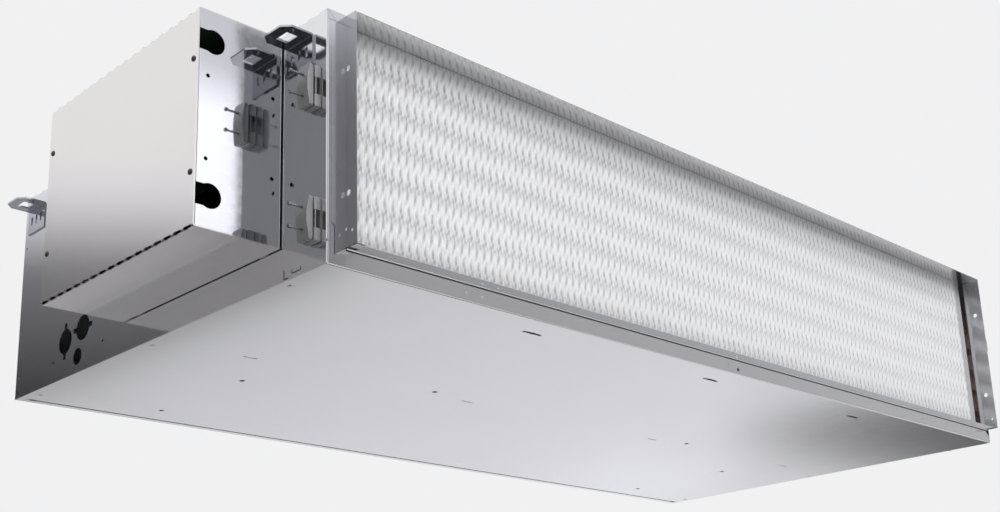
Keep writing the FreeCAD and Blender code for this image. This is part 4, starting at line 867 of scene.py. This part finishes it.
def collarPlates():
    facts = collar
    reach, roof = facts["reach"], high - sheet
    leftOut = sidePanel["frontReturn"]
    rightOut = long - sheet
    bm = bmesh.new()
    low, top = leftOut + sheet + facts["gap"], rightOut - sheet - facts["gap"]
    bevelBox(bm, (low, -reach, high - 2 * sheet), (top, facts["return"], roof), 0.25)
    # the top takes the sheet lightened as a painted reflection of the coil
    piece("collarTop", bm, "collarTopSheetPaintedReflection", replaced=("collar_top",))
    for side, wall, inward in (("left", leftOut, 1), ("right", rightOut, -1)):
        bm = bmesh.new()
        tread = (wall + inward * (facts["footWidth"] + sheet), -reach, facts["foot"])
        profile = [tread, (wall, -reach, facts["foot"]), (wall, -reach, roof)]
        foldSheet(bm, profile[::inward], (0, reach + facts["return"], 0), sheet)
        tools = bmesh.new()
        for height in facts["holes"]:
            foot = (wall - through / 2, -facts["holeForward"], height)
            addRod(tools, foot, (through, 0, 0), facts["holeRadius"], 32)
        for back, height in facts["marks"]:
            addRod(tools, (wall - through / 2, back, height), (through, 0, 0), facts["markRadius"], 20)
        near, far = sorted((wall + inward * (sheet + facts["tuck"]), wall + inward * 14))
        addBox(tools, (near, -sheet, facts["foot"] - 3), (far, 20, facts["foot"] + 4))
        # the side plates take the sheet darkened as painted shade
        piece(f"{side}Collar", bm, "collarSheetPaintedShade", replaced=(f"collar_{side}",), tools=tools)


collarPlates()
print("duct collar made")


# Coil, drain pan and pipework

coil = {
    "left": 26, "right": 1186.5, "front": 13, "depth": 55, "bottom": 27, "height": 221.4,
    "finPitch": 2.475, "finDepth": 2.6, "depthSwing": 0.25,
    "wavePitch": 36, "waveSteps": 10, "waveSwing": 0.9, "lagFins": 4, "lagShare": 12,
    "rows": (26.75, 54.25), "tubeLow": 52.5, "tubePitch": 31.75, "tubeRadius": 6.35,
    "plate": 1.5, "plateReturn": 13, "plateRise": (4.25, 248.75), "headerAcross": 1236, "headerRadius": 12.5,
}


def coilFins():
    facts = coil
    width = facts["right"] - facts["left"]
    ridges = round(width / facts["finPitch"])
    levels = round(facts["height"] / facts["wavePitch"] * facts["waveSteps"])
    bm = bmesh.new()
    bmesh.ops.create_grid(bm, x_segments=2 * ridges, y_segments=levels, size=0.5)
    bmesh.ops.scale(bm, vec=(width, facts["height"], 1), verts=bm.verts)
    bmesh.ops.rotate(bm, cent=(0, 0, 0), matrix=Matrix.Rotation(math.radians(90), 3, "X"), verts=bm.verts)
    front = Vector((facts["left"] + width / 2, facts["front"], facts["bottom"] + facts["height"] / 2))
    bmesh.ops.translate(bm, vec=front, verts=bm.verts)
    step = width / (2 * ridges)
    swing = facts["depthSwing"]
    for vert in bm.verts:
        column = round((vert.co.x - facts["left"]) / step)
        if 0 < column < 2 * ridges:
            fin = column // 2
            turn = 2 * math.pi * (vert.co.z / facts["wavePitch"] + (fin % facts["lagFins"]) / facts["lagShare"])
            vert.co.x += facts["waveSwing"] * math.sin(turn) * step
            if column % 2 == 0:
                vert.co.y += facts["finDepth"] * (1 - swing + swing * math.cos(turn))
        else:
            vert.co.y += facts["finDepth"]
    rim = [edge for edge in bm.edges if edge.is_boundary]
    walls = bmesh.ops.extrude_edge_only(bm, edges=rim)["geom"]
    for vert in vertsOf(walls):
        vert.co.y = facts["front"] + facts["depth"]
    bmesh.ops.holes_fill(bm, edges=[edge for edge in bm.edges if edge.is_boundary])
    bmesh.ops.recalc_face_normals(bm, faces=bm.faces)
    piece("coilFins", bm, "finAluminium", replaced=("coil_fins",), smooth=12)


pan = {"lip": 18, "lipTop": 26, "near": 10.8, "far": 101, "floor": 3, "rim": 30, "pocket": 19.2, "pocketGap": 0.01,
       "endGap": 1.25, "spigot": (78, 15),
       "spigotProfile": ((8, 0), (10, 0), (10, 30.4), (9.4, 31), (8, 31), (8, 0)),
       "lipHoles": ((597, 2.1), (609, 0.9), (1027, 0.9)), "holeRise": 22, "lipNubs": (188, 209), "nubRise": 21.5}


def drainPan():
    facts = pan
    bm = bmesh.new()
    left, right = sidePanel["frontReturn"] + sheet, long - 2 * sheet
    near, far, floor, rim, lip = facts["near"], facts["far"], facts["floor"], facts["rim"], facts["lip"]
    corners = ((far, rim), (far, floor), (near, floor), (near, lip), (0, lip), (0, facts["lipTop"]))
    foldSheet(bm, [(left, *corner) for corner in corners], (right - left, 0, 0), sheet, inside=(left, 56, 60))
    pocket, gap = left - facts["pocket"], facts["endGap"]
    addBox(bm, (pocket, near, floor), (left - facts["pocketGap"], far, floor + sheet))
    for low in (pocket, right - sheet):
        addBox(bm, (low, near + gap, floor + sheet), (low + sheet, far - gap, rim))
    lathe(bm, facts["spigotProfile"], (long - 3, *facts["spigot"]), (1, 0, 0))
    tools = bmesh.new()
    for across, radius in facts["lipHoles"]:
        addRod(tools, (across, -past, facts["holeRise"]), (0, 6, 0), radius, 24)
    for across in facts["lipNubs"]:
        lathe(bm, nub, (across, 0.1, facts["nubRise"]), (0, -1, 0), 16)
    piece("drainPan", bm, "galvanised", replaced=("drain_pan",), tools=tools)


def tubeHeights(levels):
    return [coil["tubeLow"] + level * coil["tubePitch"] for level in levels]


def pipework():
    facts = coil
    radius = facts["tubeRadius"]
    bm = bmesh.new()
    outside = facts["left"] - facts["plate"]
    for back in facts["rows"]:
        for middle in tubeHeights((0.5, 2.5, 4.5)):
            tubeBend(bm, (outside, back, middle - facts["tubePitch"] / 2), (-1, 0, 0), (outside, back, middle),
                     (0, 1, 0), radius)
    outside = facts["right"] + facts["plate"]
    middle = sum(facts["rows"]) / 2
    for height in tubeHeights((1, 3, 5)):
        tubeBend(bm, (outside, facts["rows"][0], height), (1, 0, 0), (outside, middle, height), (0, 0, 1), radius)
    piece("returnBends", bm, "copperTube", replaced=("coil_return_bends",), smooth=50)
    bm = bmesh.new()
    run = facts["headerAcross"] - facts["headerRadius"] - outside
    feed = [(0, 0), (radius, 0), (radius, run - 3), (radius + 1.2, run - 1.6), (radius + 2, run), (0, run)]
    for back in facts["rows"]:
        for height in tubeHeights((0, 2, 4)):
            lathe(bm, feed, (outside, back, height), (1, 0, 0), 28)
    piece("feedTubes", bm, "copperTube", replaced=("coil_feed_tubes",), smooth=50)


def rightEndPlate():
    facts = coil
    bm = bmesh.new()
    near, far = facts["front"], facts["front"] + facts["depth"]
    inner = facts["right"] + slack
    low, top = facts["plateRise"]
    foldSheet(bm, [(inner, far, low), (inner, near, low), (inner + facts["plateReturn"], near, low)],
              (0, 0, top - low), facts["plate"], inside=(inner + 9, far, low))
    tools = bmesh.new()
    for back in facts["rows"]:
        for height in tubeHeights(range(6)):
            addRod(tools, (inner - past, back, height), (6, 0, 0), facts["tubeRadius"] + slack, 28)
    piece("coilRightEndPlate", bm, "coilPlate", replaced=("coil_end_plate_right",), tools=tools)


coilFins()
rightEndPlate()
drainPan()
pipework()
print("coil, pan and pipework made")


# Electrical box

box = {
    "left": -93, "right": -1.4, "front": 68, "rear": 348, "low": 33, "top": 246,
    "keyholes": (64.5, 215), "keyholeAcross": -77, "keyholeRadius": 12, "neck": 10.4,
    "flange": 14, "flangeRise": (79, 202), "foldRadius": 1.2,
    "straps": {"near": 24, "far": 36, "width": 12},
    "wallHoles": ((-82, 99), (-82, 180), (-11.5, 99), (-11.5, 180)), "wallHoleRadius": 2,
    "screws": ((75, 85.5), (75, 196), (341, 85.5), (341, 196)),
    "screwProfile": ((0, 0), (2.9, 0), (2.9, 0.5), (2.4, 1.1), (1.4, 1.4), (0, 1.4)),
    "crossSlot": (1.9, 0.35),
    "perforation": {"pitch": 16.4, "cut": 12.2, "start": 3.4, "count": 17, "depth": 2.5},
}


def boxCover():
    facts = box
    bm = bmesh.new()
    left, right, low, top = facts["left"], facts["right"], facts["low"], facts["top"]
    corners = ((right, top), (left, top), (left, low), (right, low))
    profile = [(across, facts["front"], height) for across, height in corners]
    foldSheet(bm, profile, (0, facts["rear"] - facts["front"], 0), sheet)
    tools = bmesh.new()
    row = facts["perforation"]
    heights = ((low - past, low + row["depth"]), (top - row["depth"], top + past))
    perforate(tools, row, row["count"], facts["front"], left, heights)
    piece("boxCover", bm, "boxCoverSheet", replaced=("box_cover",), tools=tools)


def boxBody():
    facts = box
    bm = bmesh.new()
    out, right, flange = facts["left"] + sheet, facts["right"], facts["flange"]
    near, far = facts["front"], facts["rear"]
    floor, roof = facts["low"] + sheet, facts["top"] - sheet
    corners = ((out, near + flange), (out, near), (right, near), (right, far), (out, far), (out, far - flange))
    profile = [(*corner, floor) for corner in corners]
    foldSheet(bm, profile, (0, 0, roof - floor), sheet, facts["foldRadius"])
    straps = facts["straps"]
    for low in (near + straps["near"], far - straps["far"]):
        addBox(bm, (right + slack, low, floor), (-slack, low + straps["width"], roof))
    tools = bmesh.new()
    low, top = facts["flangeRise"]
    for back in (near + sheet, far - flange - past):
        for bottom, ceiling in ((floor - past, low), (top, roof + past)):
            addBox(tools, (out - past, back, bottom), (out + past, back + flange + past - sheet, ceiling))
    across, neck = facts["keyholeAcross"], facts["neck"]
    for height in facts["keyholes"]:
        addRod(tools, (across, near - 4, height), (0, 10, 0), facts["keyholeRadius"], 48)
        addBox(tools, (facts["left"] - 1, near - 3, height - neck), (across, near + 5, height + neck))
    for place, height in facts["wallHoles"]:
        addRod(tools, (place, near - 4, height), (0, 10, 0), facts["wallHoleRadius"], 24)
    piece("boxBody", bm, "brightGalvanised", replaced=("box_body",), tools=tools)


def boxScrews():
    facts = box
    bm = bmesh.new()
    tools = bmesh.new()
    left = facts["left"]
    arm, thin = facts["crossSlot"]
    for back, height in facts["screws"]:
        lathe(bm, facts["screwProfile"], (left, back, height), (-1, 0, 0), 28)
        for wide, tall in ((arm, thin), (thin, arm)):
            addBox(tools, (left - 3, back - wide, height - tall), (left - 0.5, back + wide, height + tall))
    piece("boxCoverScrews", bm, "darkenedSteel", replaced=("cover_screws",), tools=tools)


boxCover()
boxBody()
boxScrews()
print("electrical box made")


# Hanging brackets and cable clamps

bracket = {"width": 40, "reach": 33, "plate": 2, "top": 232, "foot": 201, "chamfer": 8, "backs": (40, 564),
           "hole": (12, 17), "holeOut": 16.5, "legSlot": (4, 11), "legPitch": 11, "legMiddle": 216, "bend": 2.4}


def hangingBrackets():
    facts = bracket
    top, reach, chamfer = facts["top"], facts["reach"], facts["chamfer"] / 2
    for side, (place, back) in product(("left", "right"), zip(("front", "rear"), facts["backs"])):
        bm = bmesh.new()
        near, far = back - facts["width"] / 2, back + facts["width"] / 2
        profile = [(0, near, facts["foot"]), (0, near, top), (-reach, near, top)]
        foldSheet(bm, profile, (0, facts["width"], 0), facts["plate"], facts["bend"])
        tools = bmesh.new()
        for edge, degrees in ((near + chamfer, 45), (far - chamfer, -45)):
            turnedBox(tools, (-14, -14, top - 6), (0, 14, top + 4), degrees, "Z", (-reach + chamfer, edge, 0))
        along, across = (size / 2 for size in facts["hole"])
        out = facts["holeOut"]
        addBox(tools, (-out - along, back - across, top - 6), (-out + along, back + across, top + 4))
        wide, tall = (size / 2 for size in facts["legSlot"])
        ends = facts["legMiddle"] - tall + wide, facts["legMiddle"] + tall - wide
        for number in (-1, 0, 1):
            middle = back + number * facts["legPitch"]
            addBox(tools, (-before, middle - wide, ends[0]), (before, middle + wide, ends[1]))
            for height in ends:
                addRod(tools, (-before, middle, height), (2 * before, 0, 0), wide, 20)
        if side == "right":
            for part in (bm, tools):
                bmesh.ops.scale(part, vec=(-1, 1, 1), verts=part.verts)
                bmesh.ops.translate(part, vec=(long, 0, 0), verts=part.verts)
                bmesh.ops.reverse_faces(part, faces=part.faces)
        # the brackets take the steel darkened as painted shade
        piece(f"{side}{place.capitalize()}Bracket", bm, "bracketSteelPaintedShade",
              replaced=(f"hanging_bracket_{side}_{place}",), tools=tools)


clamp = {"near": 8, "far": 25, "height": 42, "middles": {"upper": 172.5, "lower": 43.3}, "baseDepth": 8,
         "window": 17.4, "windowEnd": 1.2, "rib": (6.1, 6.9), "ribGap": 0.05, "gap": 0.3, "barDepth": 8.2,
         "apex": 3, "screwSpread": 10.6, "screwRadius": 1.4, "baseRound": 1.6, "barRound": 2.4}


def cableClamps():
    facts = clamp
    near, far, depth = facts["near"], facts["far"], facts["baseDepth"]
    ribNear, ribFar = facts["rib"]
    gap, end, half = facts["ribGap"], facts["windowEnd"], facts["window"] / 2
    slope = math.atan2(facts["apex"], facts["height"] / 2)
    for name, middle in facts["middles"].items():
        low, top = middle - facts["height"] / 2, middle + facts["height"] / 2
        bm = bmesh.new()
        bevelBox(bm, (-depth, near, low), (0, far, top), facts["baseRound"])
        tools = bmesh.new()
        for back, front in ((-depth - past, -ribFar - gap), (-ribNear + gap, -end)):
            addBox(tools, (back, near - past, middle - half), (front, far + past, middle + half))
        bevelBox(bm, (-ribFar, near + 0.8, middle - half - 0.5), (-ribNear, far - 0.8, middle + half + 0.5), 0.2)
        # the clamp base takes the metal darkened as painted shade
        piece(f"{name}ClampBase", bm, "clampMetalPaintedShade", replaced=(f"{name}_clamp_base",),
              tools=tools)
        bm = bmesh.new()
        inner = -depth - facts["gap"]
        outer = inner - facts["barDepth"]
        bevelBox(bm, (outer, near, low), (inner, far, top), facts["barRound"])
        tools = bmesh.new()
        for sign in (-1, 1):
            wedge = addBox(tools, (-20, near - past, 0), (0, far + past, 40))
            bmesh.ops.rotate(tools, cent=(0, 0, 0), matrix=Matrix.Rotation(slope, 3, "Y"), verts=wedge)
            if sign < 0:
                bmesh.ops.scale(tools, vec=(1, 1, -1), verts=wedge)
                bmesh.ops.reverse_faces(tools, faces=list({face for vert in wedge for face in vert.link_faces}))
            bmesh.ops.translate(tools, vec=(outer, 0, middle), verts=wedge)
            foot = (outer - past, (near + far) / 2, middle + sign * facts["screwSpread"])
            addRod(tools, foot, (20, 0, 0), facts["screwRadius"], 24)
        # the clamp bar takes the metal darkened as painted shade
        piece(f"{name}ClampBar", bm, "clampMetalPaintedShade", f"{name}_clamp", replaced=(f"{name}_clamp_bar",),
              tools=tools)


hangingBrackets()
cableClamps()
print("brackets and clamps made")


# Fan deck

deck = {"near": 282.4, "far": 283.6, "mouthHalf": 101.5, "mouthRise": (134, 232), "tabHalf": 6, "tabFoot": 0.3}


def fanDeck():
    facts = deck
    bm = bmesh.new()
    near, far = facts["near"], facts["far"]
    addBox(bm, (sheet, near, 2 * sheet), (long - sheet, far, high - sheet))
    half = facts["tabHalf"]
    for across in bottomSheet["deckSlots"]:
        addBox(bm, (across - half, near, facts["tabFoot"]), (across + half, far, 2 * sheet - slack))
    tools = bmesh.new()
    half = facts["mouthHalf"]
    low, top = facts["mouthRise"]
    for across in fan["middles"].values():
        addBox(tools, (across - half, near - past, low), (across + half, far + past, top))
    piece("fanDeck", bm, "galvanised", replaced=("fan_deck",), tools=tools)


# Scroll fans and their motors

fan = {
    "middles": {"left": 225, "centre": 605, "right": 985}, "back": 440, "height": 110,
    "width": 203, "wall": 1.5, "start": 92, "step": 10, "cutOff": 24, "mouth": deck["far"], "mouthFlange": 8,
    "rivetIn": 14, "rivetProfile": ((0, 0), (2.6, 0), (2.6, 0.8), (1.8, 1.6), (0, 1.8)),
    "inletRadius": 62, "inletReach": 8,
    "wheelRadius": 80, "wheelGap": 6, "ring": 3, "disc": 2,
    "blades": 40, "bladeDepth": 15, "bladeSheet": 0.9, "bladeFoot": 0.6, "bladeCentre": (9.2, -3.4),
    "bladeArc": 96,
    "hubRadius": 15, "hubLength": 24, "shaftRadius": 6,
    "shafts": {"left": (199, 631), "right": (735, 1011)},
    "motors": {"left": 415, "right": 795}, "motorLength": 92,
    "motorProfile": ((6.05, 0), (17, 0), (17, 4), (19, 5.5), (40, 7.5), (45, 10), (47.6, 13.5), (47.6, 24),
                     (50, 24.6), (50, 67.4), (47.6, 68), (47.6, 78.5), (45, 82), (40, 84.5), (19, 86.5), (17, 88),
                     (17, 92), (6.05, 92), (6.05, 0)),
    "wheelBodies": {"left": "fan_rotor_left", "centre": "fan_rotor_left", "right": "fan_rotor_right"},
}


def scrollBlock(half, grow):  # the scroll's outline, its room grown by a wall, as a solid about the fan's axis
    part = bmesh.new()
    start, step = fan["start"], fan["step"]
    throat = fan["mouth"] - fan["back"]
    first = part.verts.new((-half, -start - grow, 0))
    last = first
    for centre in ((0, 0, 0), (0, 0, step), (0, -step, step)):
        last = arcPoints(part, last, centre, (1, 0, 0), math.pi / 2, 14)
    top = start + 3 * step + grow
    tongue = fan["cutOff"] - grow
    for place in ((-half, throat, top), (-half, throat, tongue), (-half, -start - grow, tongue)):
        swept = bmesh.ops.extrude_vert_indiv(part, verts=[last])["verts"][0]
        swept.co = place
        last = swept
    part.edges.new((last, first))
    for vert in part.verts:
        vert.co.x = -half
    bmesh.ops.remove_doubles(part, verts=part.verts, dist=0.001)
    bmesh.ops.contextual_create(part, geom=part.edges[:])
    walls = bmesh.ops.extrude_face_region(part, geom=part.faces[:])["geom"]
    bmesh.ops.translate(part, vec=(2 * half, 0, 0), verts=vertsOf(walls))
    bmesh.ops.recalc_face_normals(part, faces=part.faces)
    return part


def fanHousing(name, middle):
    facts = fan
    wall, half, radius, reach = facts["wall"], facts["width"] / 2, facts["inletRadius"], facts["inletReach"]
    throat, top = facts["mouth"] - facts["back"], facts["start"] + 3 * facts["step"]
    tools = scrollBlock(half, 0)
    for low in (-half - 2 * wall, half - wall):
        addRod(tools, (low, 0, 0), (3 * wall, 0, 0), radius, 64)
    addBox(tools, (-half, throat - past, facts["cutOff"]), (half, throat + past, top))
    shell = meshObject("fanShell", scrollBlock(half + wall, wall))
    cutAway(shell, tools)
    bm = bmesh.new()
    bm.from_mesh(shell.data)
    discard(shell)
    bell = [(radius, 0), (radius, reach - 1.5), (radius + 0.5, reach - 0.4), (radius + 1.1, reach),
            (radius + wall, reach - 0.5), (radius + wall, 0), (radius, 0)]
    for sign in (-1, 1):
        lathe(bm, bell, (sign * (half + wall + slack), 0, 0), (sign, 0, 0), 64)
    low, high = facts["cutOff"] - wall, top + wall
    rim = facts["mouthFlange"]
    for side in (-1, 1):
        start, end = sorted((side * (half + wall + slack), side * (half + wall + rim)))
        addBox(bm, (start, throat, low), (end, throat + wall, high))
        for height in (low + facts["rivetIn"], high - facts["rivetIn"]):
            foot = (side * (half + wall + rim / 2), throat + wall, height)
            lathe(bm, facts["rivetProfile"], foot, (0, 1, 0), 16)
    bmesh.ops.translate(bm, vec=(middle, facts["back"], facts["height"]), verts=bm.verts)
    piece(f"{name}FanHousing", bm, "fanSteel", replaced=(f"fan_housing_{name}",))


def fanWheel(name, middle):
    facts = fan
    half, thick = facts["width"] / 2 - facts["wheelGap"], facts["disc"] / 2
    outer, ring = facts["wheelRadius"], facts["ring"]
    inner = outer - facts["bladeDepth"]
    bm = bmesh.new()
    blade = bmesh.new()
    out, back = facts["bladeCentre"]
    for low in (-half + ring, thick):
        foot = blade.verts.new((low, inner + facts["bladeFoot"], 0))
        arcPoints(blade, foot, (low, inner + out, back), (1, 0, 0), math.radians(facts["bladeArc"]), 6)
    swept = bmesh.ops.extrude_edge_only(blade, edges=blade.edges[:])["geom"]
    bmesh.ops.translate(blade, vec=(half - ring - thick, 0, 0), verts=vertsOf(swept))
    bmesh.ops.solidify(blade, geom=blade.faces[:], thickness=facts["bladeSheet"])
    bmesh.ops.recalc_face_normals(blade, faces=blade.faces)
    turn = Matrix.Rotation(2 * math.pi / facts["blades"], 3, "X")
    for number in range(facts["blades"]):
        takeIn(bm, blade.copy())
        bmesh.ops.rotate(blade, cent=(0, 0, 0), matrix=turn, verts=blade.verts)
    blade.free()
    rim = [(inner, 0), (outer - 0.6, 0), (outer, 0.6), (outer, ring - 0.6), (outer - 0.6, ring), (inner, ring),
           (inner, 0)]
    for low in (-half, half - ring):
        lathe(bm, rim, (low, 0, 0), (1, 0, 0), 72)
    hub, end, bore, edge = facts["hubRadius"], facts["hubLength"] / 2, facts["shaftRadius"] + 0.05, outer - 0.4
    disc = [(bore, -end), (hub - 1, -end), (hub, -end + 1), (hub, -thick), (edge, -thick), (edge, thick),
            (hub, thick), (hub, end - 1), (hub - 1, end), (bore, end), (bore, -end)]
    lathe(bm, disc, (0, 0, 0), (1, 0, 0), 72)
    bmesh.ops.translate(bm, vec=(middle, facts["back"], facts["height"]), verts=bm.verts)
    piece(f"{name}FanWheel", bm, "fanSteel", facts["wheelBodies"][name], replaced=(f"impeller_{name}",))


def fanDrives():
    facts = fan
    radius = facts["shaftRadius"]
    for name, (low, high) in facts["shafts"].items():
        bm = bmesh.new()
        run = high - low
        shaft = [(0, 0), (radius - 0.8, 0), (radius, 0.8), (radius, run - 0.8), (radius - 0.8, run), (0, run)]
        lathe(bm, shaft, (low, facts["back"], facts["height"]), (1, 0, 0), 40)
        piece(f"{name}FanShaft", bm, "shaftSteel", f"fan_rotor_{name}", replaced=(f"shaft_{name}",))
    for name, middle in facts["motors"].items():
        bm = bmesh.new()
        foot = (middle - facts["motorLength"] / 2, facts["back"], facts["height"])
        lathe(bm, facts["motorProfile"], foot, (1, 0, 0), 56)
        piece(f"{name}FanMotor", bm, "motorPaint", replaced=(f"motor_{name}",))


fanDeck()
for name, middle in fan["middles"].items():
    fanHousing(name, middle)
    fanWheel(name, middle)
fanDrives()
print("fans and motors made")


# Pieces taken over from the part as they are, by their finish

carried = {
    "galvanised": ("motor_cradle_left", "motor_cradle_right", "filter_rail_bottom", "filter_rail_top"),
    "coilPlate": ("coil_end_plate_left",),
    "brassFitting": ("supply_connection", "return_connection", "air_vent_body", "air_vent_key"),
    "copperTube": ("supply_header", "return_header"),
    "screwSteel": ("upper_clamp_screws", "lower_clamp_screws"),
    "terminalPlastic": ("terminal_block",),
    "boardLaminate": ("control_board",),
    "capacitorCase": ("capacitors",),
    "filterAluminium": ("filter_frame", "filter_pull"),
    "filterWeave": ("filter_media",),
    "foamLiner": ("top_liner",),
}
for finish, names in carried.items():
    for name in names:
        mesh = nodes[name].data
        mesh.materials.clear()
        mesh.materials.append(materials[finish])
print("carried nodes finished")
